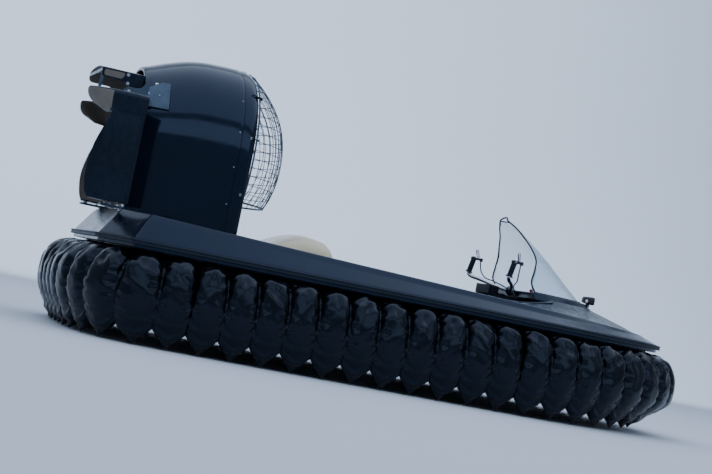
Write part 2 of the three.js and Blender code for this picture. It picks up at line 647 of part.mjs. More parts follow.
function screenRow([z, ridge, edge, half], less) {
  const steps = 12;
  return Array.from({ length: steps + 1 }, (_, k) => {
    const across = (2 * k) / steps - 1;
    const depth = (ridge - edge) * (1 - Math.abs(across) ** 2.1);
    return new THREE.Vector3(edge + depth - less, across * (half - less * 0.4), z);
  });
}

function windshieldPane() {
  const rings = SCREEN.map((row) => [...screenRow(row, 0), ...screenRow(row, SCREEN_WALL).reverse()]);
  return loft(rings, rings[0].map((p) => new THREE.Vector2(p.x, p.y)));
}

function windshieldTrim() {
  const edge = (side) => SCREEN.map(([z, , x, half]) => [x - 9, side * (half + 4), z + 6]);
  const crest = [[730, 34, 1140], [746, 0, 1145], [730, -34, 1140]];
  const foot = (side) => [872, side * 306, 723.3];
  const route = [foot(1), ...edge(1), ...crest, ...edge(-1).reverse(), foot(-1)];
  return tube(route, 5, 6, 56);
}

// Steering: the bar turns about an axis that leans back by the tilt
const TILT = THREE.MathUtils.degToRad(STEERING.tilt);
const steeringPoint = (up) => [STEERING.x - up * Math.sin(TILT), 0, STEERING.z + up * Math.cos(TILT)];
const RISER = [ // port half of the bar, from the hub out to the foot of the upright handle
  [832, 0, 708], [812, 60, 712], [775, 165, 728], [720, 262, 748], [686, 312, 758], [674, 329, 772],
];
const HANDLE = { foot: 772, low: 786, high: 862, top: 884, radius: 11, grip: 17 };
const handleAt = (z) => [674 + (z - 772) * 0.19, 330, z];

function handlebar() {
  const half = tube(RISER, HANDLE.radius, 8, 26);
  const upright = rod(handleAt(HANDLE.foot - 3), handleAt(HANDLE.top), HANDLE.radius, 12);
  const hub = rod(steeringPoint(6), steeringPoint(44), 24, 16);
  return join(hub, half, upright, mirrored(half), mirrored(upright));
}

const handleHole = rod(handleAt(HANDLE.foot + 2), handleAt(HANDLE.top + 40), HANDLE.radius + SEAT_GAP, 12);

function gripPort() {
  const sleeve = rod(handleAt(HANDLE.low), handleAt(HANDLE.high), HANDLE.grip, 12);
  const flange = rod(handleAt(HANDLE.low - 7), handleAt(HANDLE.low + 1), 24, 12);
  return sleeve.add(flange).subtract(handleHole);
}

function controlHeadPort() {
  const clamp = rod(handleAt(HANDLE.high + 1), handleAt(HANDLE.high + 17), 20, 12);
  const lug = box([702, 318, HANDLE.high + 3], [726, 334, HANDLE.high + 15]);
  const lever = tube([[721, 326, 870], [718, 332, 890], [712, 338, 912], [706, 340, 930]], 5, 6, 8);
  return join(clamp, lug, lever).subtract(handleHole);
}

function controlCablePort() {
  return tube([
    [728.2, 324, 871], [736, 323, 868], [740, 318, 842], [745, 303, 802], [762, 262, 765], [788, 180, 750],
    [815, 100, 734], [840, 56, 718], [858, 40, 706],
  ], 4, 6, 24);
}

function steeringColumn() {
  const sleeve = rod(steeringPoint(-62), steeringPoint(6 - SEAT_GAP), 19, 16);
  const foot = box([830, -45, POD.top + SEAT_GAP], [932, 45, POD.top + 10]);
  const pod = box([POD.rear, -RIM.halfBeam, 0], [RIM.bow, RIM.halfBeam, POD.top + SEAT_GAP]);
  return sleeve.add(foot).subtract(pod);
}

function bowLight() {
  const { x, stem, rear, front, half, bottom, top } = LAMP;
  const post = rod([x, 0, COWL.base], [x, 0, bottom + 4], stem, 12);
  return seatedOnDeck(post.add(box([rear, -half, bottom], [front, half, top])));
}

function skidPort() {
  const { rear, front, inner, outer, bottom, noseFrom, noseRise } = SKID;
  const bar = box([rear, inner, bottom], [front, outer, HULL.bottom - SEAT_GAP]);
  return bar.subtract(box([noseFrom, 0, 0], [RIM.bow, RIM.halfBeam, bottom + noseRise]));
}

const craft = new THREE.Group();

function place(name, solid, material) {
  const mesh = new THREE.Mesh(geometryOf(solid.translate([FORWARD, 0, 0])), material);
  mesh.name = name;
  craft.add(mesh);
}

// Each pair is built on one side and mirrored
function placePair(name, port, material) {
  place(`${name}_port`, port, material);
  place(`${name}_starboard`, mirrored(port), material);
}

place('hull', hullBlank.subtract(cockpitWell).subtract(engineWell), MATERIAL.gelcoat);
place('deck', deckBlank.subtract(cockpitWell).subtract(engineWell), MATERIAL.gelcoat);
place('rub_rail', railRing(), MATERIAL.rubber);
place('cockpit_liner', linerTub(), MATERIAL.cream);
place('skirt_bow', skirtRun(-SIDE_FRONT, SIDE_FRONT), MATERIAL.fabric);
place('skirt_port', skirtRun(SIDE_FRONT, SIDE_REAR), MATERIAL.fabric);
place('skirt_stern', skirtRun(SIDE_REAR, ROUND - SIDE_REAR), MATERIAL.fabric);
place('skirt_starboard', skirtRun(ROUND - SIDE_REAR, ROUND - SIDE_FRONT), MATERIAL.fabric);
placePair('skid', skidPort(), MATERIAL.rubber);
place('engine', box(
  [ENGINE.rear, -ENGINE.half, HULL.wellFloor + SEAT_GAP],
  [ENGINE.front, ENGINE.half, ENGINE.top],
), MATERIAL.steel);
place('engine_cover', coverShell(), MATERIAL.cream);
place('belt_cover', beltCover(), MATERIAL.blackPlastic);
place('seat_base', seatBase(), MATERIAL.cream);
place('seat_cushion', seatCushion(), MATERIAL.vinyl);
place('fan_duct', ductHalf(-1800, DUCT.seam - SEAT_GAP), MATERIAL.ductGelcoat);
place('inlet_ring', ductHalf(DUCT.seam, -900), MATERIAL.ductGelcoat);
place('fan_guard', guardWires(), MATERIAL.steel);
place('fan_carrier', fanCarrier(), MATERIAL.blackPlastic);
place('fan', fanSolid(), MATERIAL.blackPlastic);
place('fan_shaft', fanShaft(), MATERIAL.steel);
place('lift_splitter', liftSplitter(), MATERIAL.ductGelcoat);
placePair('rudder', rudderPort(), MATERIAL.ductGelcoat);
place('bucket_port', stowed(mirrored(bucketStarboard())), MATERIAL.blackPlastic);
place('bucket_starboard', bucketStarboard(), MATERIAL.blackPlastic);
placePair('shoulder_bracket', mirrored(shoulderBracketStarboard()), MATERIAL.steel);
placePair('lower_bracket', mirrored(lowerBracketStarboard()), MATERIAL.steel);
place('outlet_vane', outletVane(), MATERIAL.blackPlastic);
place('console_pod', consolePod(), MATERIAL.gelcoat);
place('cowl', cowlBlock(), MATERIAL.gelcoat);
place('windshield', windshieldPane(), MATERIAL.clear);
place('windshield_trim', windshieldTrim(), MATERIAL.rubber);
place('steering_column', steeringColumn(), MATERIAL.blackPlastic);
place('handlebar', handlebar(), MATERIAL.chrome);
placePair('grip', gripPort(), MATERIAL.rubber);
placePair('control_head', controlHeadPort(), MATERIAL.blackPlastic);
placePair('control_cable', controlCablePort(), MATERIAL.rubber);
place('bow_light', bowLight(), MATERIAL.blackPlastic);

export default craft;
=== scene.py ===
"""Looks of a light recreational hovercraft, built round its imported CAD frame.

Everything is in metres in the craft's own frame: X to the bow, Y to port, Z up from the skirt's tips. Each
sub-assembly is a class with its sizes as fields, and each finish is a frozen dataclass.
"""
import logging
import math
from collections.abc import Callable, Iterable, Sequence
from dataclasses import dataclass, field
from enum import Enum
from functools import cache

import bmesh
import bpy
import numpy as np
from mathutils import Matrix, Vector


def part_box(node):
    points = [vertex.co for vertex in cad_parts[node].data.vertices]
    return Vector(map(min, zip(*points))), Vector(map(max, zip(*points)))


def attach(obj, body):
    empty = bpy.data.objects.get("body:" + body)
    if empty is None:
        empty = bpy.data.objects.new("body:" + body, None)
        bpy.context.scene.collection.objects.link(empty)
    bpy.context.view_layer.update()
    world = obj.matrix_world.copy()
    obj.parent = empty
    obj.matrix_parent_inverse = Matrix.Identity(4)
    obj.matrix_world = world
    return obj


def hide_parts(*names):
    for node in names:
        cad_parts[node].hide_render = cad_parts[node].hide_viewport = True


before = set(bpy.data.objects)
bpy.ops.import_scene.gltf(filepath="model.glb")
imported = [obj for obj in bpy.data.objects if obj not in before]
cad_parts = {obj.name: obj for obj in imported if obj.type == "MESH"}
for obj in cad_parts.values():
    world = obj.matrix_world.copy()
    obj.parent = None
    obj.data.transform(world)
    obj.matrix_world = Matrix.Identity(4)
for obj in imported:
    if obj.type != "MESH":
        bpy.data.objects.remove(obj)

log = logging.getLogger("hovercraft")

Array = np.ndarray
Piece = bpy.types.Object
Link = bpy.types.NodeSocket

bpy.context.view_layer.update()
DUCT_REAR = -1.700
"""Rear edge of the duct, from the middle of the hard rim."""

SHAFT_HEIGHT = 1.125
"""Height of the fan's shaft, which the duct is built round."""

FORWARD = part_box("fan_duct")[0].x - DUCT_REAR
"""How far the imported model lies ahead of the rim's middle."""

SHIFT = (FORWARD, 0.0, 0.0)
"""The way from the rim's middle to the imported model's."""

MERGE_DISTANCE = 2e-5
"""Points that are closer than this become one."""


class Body(Enum):
    """The bodies that pieces ride on."""

    CRAFT = "craft"
    FAN = "thrust_fan"
    BAR = "steering_bar"
    PORT_RUDDER = "port_rudder"
    STARBOARD_RUDDER = "starboard_rudder"
    PORT_BUCKET = "port_bucket"
    STARBOARD_BUCKET = "starboard_bucket"


class Pattern(Enum):
    """What the fine surface of a finish looks like."""

    PEEL = "sprayed or moulded gloss with a faint orange peel"
    COATED = "coated cloth, crumpled, with a fine thread"
    GRAIN = "leather grain"
    BRUSHED = "drawn or plated metal with fine streaks"
    MATT = "matt moulding with a fine stipple"


def linear(colour: str) -> tuple[float, float, float, float]:
    """Turns an sRGB hex colour into Blender's linear one.

    Args:
        colour: six hex digits, such as "1b2733".

    Returns:
        Red, green, blue and an alpha of 1.
    """
    parts = [int(colour[k:k + 2], 16) / 255 for k in (0, 2, 4)]
    red, green, blue = (c / 12.92 if c <= 0.04045 else ((c + 0.055) / 1.055) ** 2.4 for c in parts)
    return red, green, blue, 1.0


def add_node(tree: bpy.types.NodeTree, kind: str, settings: dict | None = None,
             links: dict | None = None) -> bpy.types.Node:
    """Adds a node with its settings and links.

    Args:
        tree: the shader or geometry tree.
        kind: the node's type.
        settings: values by socket name, socket number or attribute name.
        links: outputs, or nodes for their first output, by the name or number of the input that they feed.

    Returns:
        The new node.
    """
    node = tree.nodes.new(kind)
    later = {}
    for name, value in (settings or {}).items():
        if isinstance(name, str) and hasattr(node, name):
            setattr(node, name, value)
        else:
            later[name] = value
    for name, value in later.items():
        node.inputs[name].default_value = value
    for name, source in (links or {}).items():
        tree.links.new(source if isinstance(source, Link) else source.outputs[0], node.inputs[name])
    return node


@dataclass(frozen=True)
class Finish:
    """What a surface is made of, and how it meets the light."""

    name: str
    colour: str
    patch: str
    roughness: float
    pattern: Pattern
    rough_swing: float = 0.08
    patch_size: float = 0.25
    patch_share: float = 0.5
    detail_size: float = 0.004
    detail_depth: float = 0.0002
    ior: float = 1.5
    metallic: float = 0.0
    coat: float = 0.0
    sheen: float = 0.0
    # Colour of the reflections; the blue values given below are a painted sky reflection, not the surface's
    # own colour.
    tint: str = "ffffff"
    dust: str = ""
    dust_height: float = 0.0

    @cache
    def material(self) -> bpy.types.Material:
        """Makes the finish's material at its first use.

        Returns:
            The material.
        """
        material = bpy.data.materials.new(self.name)
        material.use_nodes = True
        tree = material.node_tree
        shader = tree.nodes["Principled BSDF"]
        # Specular Tint colours every reflection with the finish's tint, which paints a blue sky reflection on
        # the tinted finishes.
        fixed = {"Metallic": self.metallic, "Coat Weight": self.coat, "Coat Roughness": 0.06,
                 "Sheen Weight": self.sheen, "Specular Tint": linear(self.tint)}
        if not self.metallic:
            fixed["IOR"] = self.ior
        for name, value in fixed.items():
            shader.inputs[name].default_value = value
        place = add_node(tree, "ShaderNodeTexCoord").outputs["Object"]
        self._paint(tree, shader, place)
        tree.links.new(self._relief(tree, place), shader.inputs["Normal"])
        return material

    def _paint(self, tree: bpy.types.NodeTree, shader: bpy.types.Node, place: Link) -> None:
        """Colour in soft patches, dust near the floor, and a roughness that wanders in finer patches of its
        own.

        Args:
            tree: the material's tree.
            shader: its shader.
            place: the object coordinates.
        """
        clouds = add_node(tree, "ShaderNodeTexNoise",
                          {"Scale": 1 / self.patch_size, "Detail": 7.0, "Roughness": 0.62}, {"Vector": place})
        amount = add_node(tree, "ShaderNodeMapRange",
                          {"From Min": 0.42, "From Max": 0.68, "To Min": 0.0, "To Max": self.patch_share},
                          {"Value": clouds})
        colour = add_node(tree, "ShaderNodeMix",
                          {"data_type": "RGBA", 6: linear(self.colour), 7: linear(self.patch)}, {0: amount})
        top = colour.outputs[2]
        if self.dust:
            height = add_node(tree, "ShaderNodeSeparateXYZ", links={0: place}).outputs["Z"]
            low = add_node(tree, "ShaderNodeMapRange",
                           {"From Min": 0.0, "From Max": self.dust_height, "To Min": 0.9, "To Max": 0.0},
                           {"Value": height})
            specks = add_node(tree, "ShaderNodeTexNoise", {"Scale": 55.0, "Detail": 8.0, "Roughness": 0.75},
                              {"Vector": place})
            spotted = add_node(tree, "ShaderNodeMapRange", {"From Min": 0.45, "From Max": 0.7},
                               {"Value": specks})
            share = add_node(tree, "ShaderNodeMath", {"operation": "MULTIPLY"}, {0: low, 1: spotted})
            top = add_node(tree, "ShaderNodeMix", {"data_type": "RGBA", 7: linear(self.dust)},
                           {0: share, 6: top}).outputs[2]
        tree.links.new(top, shader.inputs["Base Color"])
        fine = add_node(tree, "ShaderNodeTexNoise", {"Scale": 9.0 / self.patch_size, "Detail": 5.0},
                        {"Vector": place})
        swing = {"From Min": 0.3, "From Max": 0.7, "To Min": self.roughness - self.rough_swing / 2,
                 "To Max": self.roughness + self.rough_swing}
        rough = add_node(tree, "ShaderNodeMapRange", swing, {"Value": fine})
        tree.links.new(rough.outputs[0], shader.inputs["Roughness"])

    def _relief(self, tree: bpy.types.NodeTree, place: Link) -> Link:
        """The fine surface as a bump, by the finish's pattern.

        Args:
            tree: the material's tree.
            place: the object coordinates.

        Returns:
            The bumped normal.
        """
        scale = 1 / self.detail_size
        at = {"Vector": place}
        if self.pattern is Pattern.GRAIN:
            height = add_node(tree, "ShaderNodeTexVoronoi", {"feature": "SMOOTH_F1", "Scale": scale}, at)
        elif self.pattern is Pattern.BRUSHED:
            drawn = add_node(tree, "ShaderNodeMapping", {"Scale": (scale * 0.04, scale, scale)}, at)
            height = add_node(tree, "ShaderNodeTexNoise", {"Scale": 1.0, "Detail": 4.0}, {"Vector": drawn})
        elif self.pattern is Pattern.COATED:
            bent = add_node(tree, "ShaderNodeTexNoise",
                            {"Scale": scale * 0.06, "Detail": 3.0, "Distortion": 1.6}, at)
            thread = add_node(tree, "ShaderNodeTexNoise", {"Scale": scale, "Detail": 2.0}, at)
            height = add_node(tree, "ShaderNodeMath", {"operation": "MULTIPLY_ADD", 1: 0.12},
                              {0: thread, 2: bent})
        else:
            height = add_node(tree, "ShaderNodeTexNoise", {"Scale": scale, "Detail": 2.0}, at)
        bump = add_node(tree, "ShaderNodeBump", {"Strength": 1.0, "Distance": self.detail_depth},
                        {"Height": height})
        return bump.outputs["Normal"]


# Pigmented gelcoat over glass fibre: deep gloss, faint orange peel, haze where wiped; the blue cast of its
# reflections is a painted sky reflection.
HULL_GELCOAT = Finish("navy_black_gelcoat", "0a1422", "0f1c2e", 0.2, Pattern.PEEL, patch_size=0.45,
                      detail_size=0.006, detail_depth=0.00004, ior=1.43, tint="bcd2f2", dust="5a5850",
                      dust_height=0.3)
# The same gelcoat, blacker and freshly polished on the duct; its reflections are tinted blue, a painted sky
# reflection.
DUCT_GELCOAT = Finish("polished_black_gelcoat", "070c17", "0a1424", 0.11, Pattern.PEEL, rough_swing=0.05,
                      patch_size=0.6, detail_size=0.007, detail_depth=0.00003, ior=1.49, tint="b4cdf2")
# Deck walked on with wet shoes: satin, with dull patches; its reflections are tinted blue, a painted sky
# reflection.
DECK_GELCOAT = Finish("satin_deck_gelcoat", "0d1826", "142234", 0.26, Pattern.PEEL, rough_swing=0.12,
                      patch_size=0.3, detail_size=0.005, detail_depth=0.00006, ior=1.43, tint="c0d6f4")
# Polyurethane coated nylon: black cloth with a wet sheen and creases; the sheen is tinted blue, a painted sky
# reflection.
SKIRT_CLOTH = Finish("coated_nylon_cloth", "020306", "05080d", 0.2, Pattern.COATED, rough_swing=0.1,
                     patch_size=0.12, detail_size=0.0016, detail_depth=0.00025, ior=1.42, tint="b8cbe8",
                     dust="3a352e", dust_height=0.08)
# EPDM rubber edge section: grey-black and matt; its faint reflections are tinted blue, a painted sky
# reflection.
RUBBER = Finish("extruded_rubber", "0d1219", "151c25", 0.5, Pattern.MATT, detail_size=0.0015,
                detail_depth=0.00015, tint="c4d6f0")
# Gelcoat in a warm off-white, a little yellowed by the sun.
CREAM = Finish("cream_gelcoat", "e3d4ae", "d4c296", 0.28, Pattern.PEEL, rough_swing=0.1, patch_size=0.3,
               patch_share=0.35, detail_size=0.006, detail_depth=0.00006, coat=0.3)
# PVC upholstery cloth with an embossed grain.
VINYL = Finish("grained_marine_vinyl", "17181a", "222326", 0.46, Pattern.GRAIN, detail_size=0.0022,
               detail_depth=0.0005)
# Galvanised sheet and bar.
ZINC = Finish("zinc_plated_steel", "9aa0a6", "7f868d", 0.34, Pattern.BRUSHED, metallic=1.0, patch_size=0.05,
              detail_size=0.001, detail_depth=0.00008)
# Brackets of bright sheet darkened by weather.
DARK_STEEL = Finish("weathered_steel", "4d5a68", "37424f", 0.42, Pattern.BRUSHED, metallic=1.0,
                    patch_size=0.06, detail_size=0.0012, detail_depth=0.00012)
# Nickel and chrome over tube: a mirror with faint wipe marks.
CHROME = Finish("chrome_plated_tube", "d5d8dc", "c4c8cd", 0.09, Pattern.BRUSHED, rough_swing=0.05,
                metallic=1.0, patch_size=0.04, detail_size=0.002, detail_depth=0.00002)
# Rotomoulded polyethylene of the console: dark navy with a coarse stipple.
CONSOLE_SKIN = Finish("stippled_navy_moulding", "090f1b", "0d1626", 0.6, Pattern.MATT, detail_size=0.003,
                      detail_depth=0.0003, ior=1.3)
# Injection moulded nylon: black with a fine stipple.
BLACK_PLASTIC = Finish("moulded_black_nylon", "101113", "1a1c1f", 0.45, Pattern.MATT, detail_size=0.0012,
                       detail_depth=0.00015)
# Hand laid glass fibre with black resin: half gloss, uneven; its reflections are tinted blue, a painted sky
# reflection.
COMPOSITE = Finish("black_glass_fibre", "080d15", "0c1420", 0.24, Pattern.PEEL, rough_swing=0.08,
                   patch_size=0.3, detail_size=0.009, detail_depth=0.00003, ior=1.47, tint="b6cef0")
# The unpolished inside of the hoods, where the fibres show through.
RAW_LAMINATE = Finish("bare_laminate", "6e665c", "57534d", 0.5, Pattern.COATED, patch_size=0.05,
                      detail_size=0.002, detail_depth=0.0006)
# Closed cell foam mat on the floor.
FOAM_MAT = Finish("closed_cell_foam", "202226", "2b2d31", 0.85, Pattern.MATT, detail_size=0.0018,
                  detail_depth=0.0004)
# Moulded red cap of the stop switch.
RED_CAP = Finish("red_nylon", "a3170f", "7f120d", 0.35, Pattern.MATT, detail_size=0.002,
                 detail_depth=0.00008)
# Opal acrylic of the lamp's window.
OPAL = Finish("opal_acrylic", "eef0f0", "e2e6e8", 0.2, Pattern.PEEL, patch_share=0.2, detail_size=0.004,
              detail_depth=0.00004, coat=0.5)
# Cast crankcase aluminium.
CAST = Finish("cast_aluminium", "8a8c8e", "6d7073", 0.5, Pattern.MATT, metallic=1.0, patch_size=0.05,
              detail_size=0.002, detail_depth=0.0003)


@dataclass(frozen=True)
class ClearFinish:
    """A clear sheet with a cool tint and the faint haze of wiping."""

    name: str
    colour: str
    ior: float
    haze: tuple[float, float]

    @cache
    def material(self) -> bpy.types.Material:
        """Makes the finish's material at its first use.

        Returns:
            The material.
        """
        material = bpy.data.materials.new(self.name)
        material.use_nodes = True
        tree = material.node_tree
        shader = tree.nodes["Principled BSDF"]
        shader.inputs["Base Color"].default_value = linear(self.colour)
        shader.inputs["IOR"].default_value = self.ior
        shader.inputs["Transmission Weight"].default_value = 1.0
        place = add_node(tree, "ShaderNodeTexCoord").outputs["Object"]
        smears = add_node(tree, "ShaderNodeTexNoise", {"Scale": 14.0, "Detail": 6.0, "Distortion": 0.8},
                          {"Vector": place})
        rough = add_node(tree, "ShaderNodeMapRange",
                         {"From Min": 0.45, "From Max": 0.8, "To Min": self.haze[0], "To Max": self.haze[1]},
                         {"Value": smears})
        tree.links.new(rough.outputs[0], shader.inputs["Roughness"])
        return material


# Bent cast acrylic: clear, glossy at a glance, a little dull where it was wiped.
SCREEN_ACRYLIC = ClearFinish("clear_cast_acrylic", "eef5fa", 1.49, (0.015, 0.12))

Look = Finish | ClearFinish


def cubic(knots: Array, values: Array, slopes: Array, at: Array) -> Array:
    """A curve through values with the given slopes.

    Args:
        knots: where the values stand, rising.
        values: one row for each knot.
        slopes: one row for each knot.
        at: where to read the curve.

    Returns:
        One row for each place.
    """
    k = np.clip(np.searchsorted(knots, at, side="right") - 1, 0, len(knots) - 2)
    h = np.diff(knots)[k][:, None]
    t = (at - knots[k])[:, None] / h
    return ((2 * t ** 3 - 3 * t ** 2 + 1) * values[k] + (t ** 3 - 2 * t ** 2 + t) * h * slopes[k]
            + (3 * t ** 2 - 2 * t ** 3) * values[k + 1] + (t ** 3 - t ** 2) * h * slopes[k + 1])


def bend(start: Array, corner: Array, end: Array, t: Array | float) -> Array:
    """The curve from start to end that leans towards a corner."""
    return (1 - t) ** 2 * start + 2 * t * (1 - t) * corner + t ** 2 * end


def rectangle(left: float, low: float, right: float, high: float) -> list[tuple[float, float]]:
    """A rectangle's corners, anticlockwise."""
    return [(left, low), (right, low), (right, high), (left, high)]


def stacked(*columns: Array | float) -> Array:
    """Rows of points from their coordinates, of which some may be one number."""
    return np.column_stack(np.broadcast_arrays(*columns))


class Table:
    """Values along a line, read smoothly between its rows."""

    def __init__(self, rows: Sequence[Sequence[float]]) -> None:
        """Takes rows of a key and its values, in rising order of the key."""
        data = np.array(rows, float)
        self.keys, self.values = data[:, 0], data[:, 1:]

    def at(self, keys: Array | float) -> Array:
        """Reads the table without overshoot, by a monotone cubic.

        Args:
            keys: one key or several.

        Returns:
            A row for each key, or one number for each if the table has one column.
        """
        x, y = self.keys, self.values
        slope = np.diff(y, axis=0) / np.diff(x)[:, None]
        before, after = slope[:-1], slope[1:]
        same = before * after > 0
        inner = np.where(same, 2 * before * after / np.where(same, before + after, 1.0), 0.0)
        tangent = np.concatenate([slope[:1], inner, slope[-1:]])
        value = cubic(x, y, tangent, np.clip(np.atleast_1d(np.asarray(keys, float)), x[0], x[-1]))
        return value[:, 0] if y.shape[1] == 1 else value


def resampled(route: Sequence[Sequence[float]] | Array, count: int) -> Array:
    """A smooth curve through points, at even distances.

    Args:
        route: the points that it passes.
        count: how many points to return.

    Returns:
        count rows of coordinates.
    """
    points = np.array(route, float)
    knots = np.concatenate([[0], np.cumsum(np.linalg.norm(np.diff(points, axis=0), axis=1) ** 0.5)])
    slopes = np.gradient(points, knots, axis=0)
    curve = cubic(knots, points, slopes, np.linspace(0, knots[-1], 40 * len(points)))
    run = run_of(curve)
    even = np.linspace(0, run[-1], count)
    return np.stack([np.interp(even, run, curve[:, c]) for c in range(points.shape[1])], axis=1)


def run_of(line: Array) -> Array:
    """How far along a line each of its points is."""
    return np.concatenate([[0], np.cumsum(np.linalg.norm(np.diff(line, axis=0), axis=1))])


def circle(radius: float, sides: int, flat: float = 1.0) -> Array:
    """A round or flattened section with its points anticlockwise."""
    turn = np.linspace(0, 2 * math.pi, sides, endpoint=False)
    return stacked(radius * np.cos(turn), radius * flat * np.sin(turn))


def rounded(corners: Sequence[Sequence[float]], radii: float | Sequence[float], steps: int = 4) -> Array:
    """A closed outline with its corners rounded.

    Args:
        corners: the sharp corners in order.
        radii: one radius, or one for each corner.
        steps: straight pieces in each rounded corner.

    Returns:
        The outline's points, steps + 1 for each corner.
    """
    points = np.array(corners, float)
    sizes = np.broadcast_to(np.array(radii, float), (len(points),))
    outline = []
    for k, corner in enumerate(points):
        back, ahead = points[k - 1] - corner, points[(k + 1) % len(points)] - corner
        room = 0.49 * min(np.linalg.norm(back), np.linalg.norm(ahead))
        back, ahead = back / np.linalg.norm(back), ahead / np.linalg.norm(ahead)
        half = math.acos(float(np.clip(back @ ahead, -1, 1))) / 2
        reach = min(sizes[k] / max(math.tan(half), 1e-6), room)
        for t in np.linspace(0, 1, steps + 1):
            a, b = corner + back * reach, corner + ahead * reach
            outline.append(bend(a, corner * 0.88 + (a + b) * 0.06, b, t))
    return np.array(outline)


def grid(rows: int, columns: int, around: bool = False, first: int = 0) -> list[tuple[int, ...]]:
    """Faces of a grid of points, row by row.

    Args:
        rows: how many rows of points.
        columns: how many points in a row.
        around: whether each row is a closed ring.
        first: the number of the grid's first point.

    Returns:
        Quads as point numbers.
    """
    faces = []
    for r in range(rows - 1):
        for c in range(columns if around else columns - 1):
            d = (c + 1) % columns
            a, b = first + r * columns, first + (r + 1) * columns
            faces.append((a + c, a + d, b + d, b + c))
    return faces


def linked(name: str, data: bpy.types.ID) -> bpy.types.Object:
    """Puts a mesh, a light or a camera into the scene.

    Args:
        name: the object's name.
        data: what it shows.

    Returns:
        The new object, at the origin.
    """
    made = bpy.data.objects.new(name, data)
    bpy.context.scene.collection.objects.link(made)
    return made


def piece_from(name: str, points: Array | Sequence, faces: Iterable[Sequence[int]], finish: Look,
               crease: float = 35.0, outward: bool = True) -> Piece:
    """Makes a piece of points in the craft's frame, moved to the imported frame.

    Args:
        name: the piece's name.
        points: coordinates from the rim's middle.
        faces: point numbers of each face.
        finish: its finish.
        crease: edges that turn more than this many degrees stay sharp.
        outward: whether to turn all faces outwards.

    Returns:
        The new piece.
    """
    mesh = bpy.data.meshes.new(name)
    mesh.from_pydata((np.array(points, float) + SHIFT).tolist(), [], [list(f) for f in faces])
    work = bmesh.new()
    work.from_mesh(mesh)
    bmesh.ops.remove_doubles(work, verts=work.verts, dist=MERGE_DISTANCE)
    bmesh.ops.dissolve_degenerate(work, edges=work.edges, dist=1e-6)
    if outward:
        bmesh.ops.recalc_face_normals(work, faces=work.faces)
    work.to_mesh(mesh)
    work.free()
    mesh.materials.append(finish.material())
    mesh.shade_smooth()
    mesh.set_sharp_from_angle(angle=math.radians(crease))
    return linked(name, mesh)


def coordinates(mesh: bpy.types.Mesh) -> Array:
    """Reads where a mesh's points are.

    Args:
        mesh: the mesh.

    Returns:
        One row for each point.
    """
    points = np.zeros(len(mesh.vertices) * 3)
    mesh.vertices.foreach_get("co", points)
    return points.reshape(-1, 3)


def blown(piece: Piece, frames: int, cap: float) -> Array:
    """Runs a piece's cloth simulation.

    Args:
        piece: a piece with a cloth modifier.
        frames: how long it runs.
        cap: how far a point may move.

    Returns:
        How far each point moved.
    """
    start = coordinates(piece.data)
    piece.modifiers[0].point_cache.frame_end = frames
    for number in range(1, frames + 1):
        bpy.context.scene.frame_set(number)
    depsgraph = bpy.context.evaluated_depsgraph_get()
    shift = coordinates(piece.evaluated_get(depsgraph).to_mesh()) - start
    bpy.context.scene.frame_set(1)
    length = np.linalg.norm(shift, axis=1, keepdims=True)
    return shift * np.minimum(1, cap / np.maximum(length, 1e-9))


def applied(piece: Piece) -> Piece:
    """Turns a piece's modifiers into its mesh.

    Args:
        piece: the piece.

    Returns:
        The same piece.
    """
    depsgraph = bpy.context.evaluated_depsgraph_get()
    mesh = bpy.data.meshes.new_from_object(piece.evaluated_get(depsgraph), preserve_all_data_layers=True,
                                           depsgraph=depsgraph)
    piece.modifiers.clear()
    piece.data = mesh
    return piece


def bevelled(piece: Piece, width: float, segments: int = 3, angle: float = 32.0) -> Piece:
    """Rounds a piece's sharp edges.

    Args:
        piece: the piece.
        width: how far from the edge the rounding starts.
        segments: faces across the rounding.
        angle: edges that turn less than this many degrees are left.

    Returns:
        The same piece.
    """
    bevel = piece.modifiers.new("bevel", "BEVEL")
    bevel.width = width
    bevel.segments = segments
    bevel.limit_method = "ANGLE"
    bevel.angle_limit = math.radians(angle)
    bevel.harden_normals = True
    return applied(piece)


def loft(name: str, rings: Sequence[Array], finish: Look, capped: bool = True, crease: float = 35.0) -> Piece:
    """A skin through closed rings with the same number of points.

    Args:
        name: the piece's name.
        rings: the rings' points.
        finish: its finish.
        capped: whether flat faces close its ends.
        crease: edges that turn more than this many degrees stay sharp.

    Returns:
        The new piece.
    """
    count = len(rings[0])
    faces = grid(len(rings), count, around=True)
    if capped:
        last = (len(rings) - 1) * count
        faces += [tuple(range(count))[::-1], tuple(range(last, last + count))]
    return piece_from(name, np.concatenate(rings), faces, finish, crease)


def walled(piece: Piece, thickness: float, inside: Look | None = None) -> Piece:
    """Gives a skin its wall, behind its faces.

    Args:
        piece: the skin.
        thickness: the wall's thickness.
        inside: the finish of the wall's other side, if it differs.

    Returns:
        The same piece.
    """
    wall = piece.modifiers.new("wall", "SOLIDIFY")
    wall.thickness = thickness
    wall.offset = -1
    if inside:
        piece.data.materials.append(inside.material())
        wall.material_offset = 1
    return applied(piece)


def facing_from(piece: Piece, point: Sequence[float]) -> None:
    """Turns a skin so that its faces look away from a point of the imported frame.

    Args:
        piece: the skin.
        point: what it looks away from.
    """
    middle = Vector(point)
    if sum((p.center - middle).dot(p.normal) * p.area for p in piece.data.polygons) < 0:
        piece.data.flip_normals()


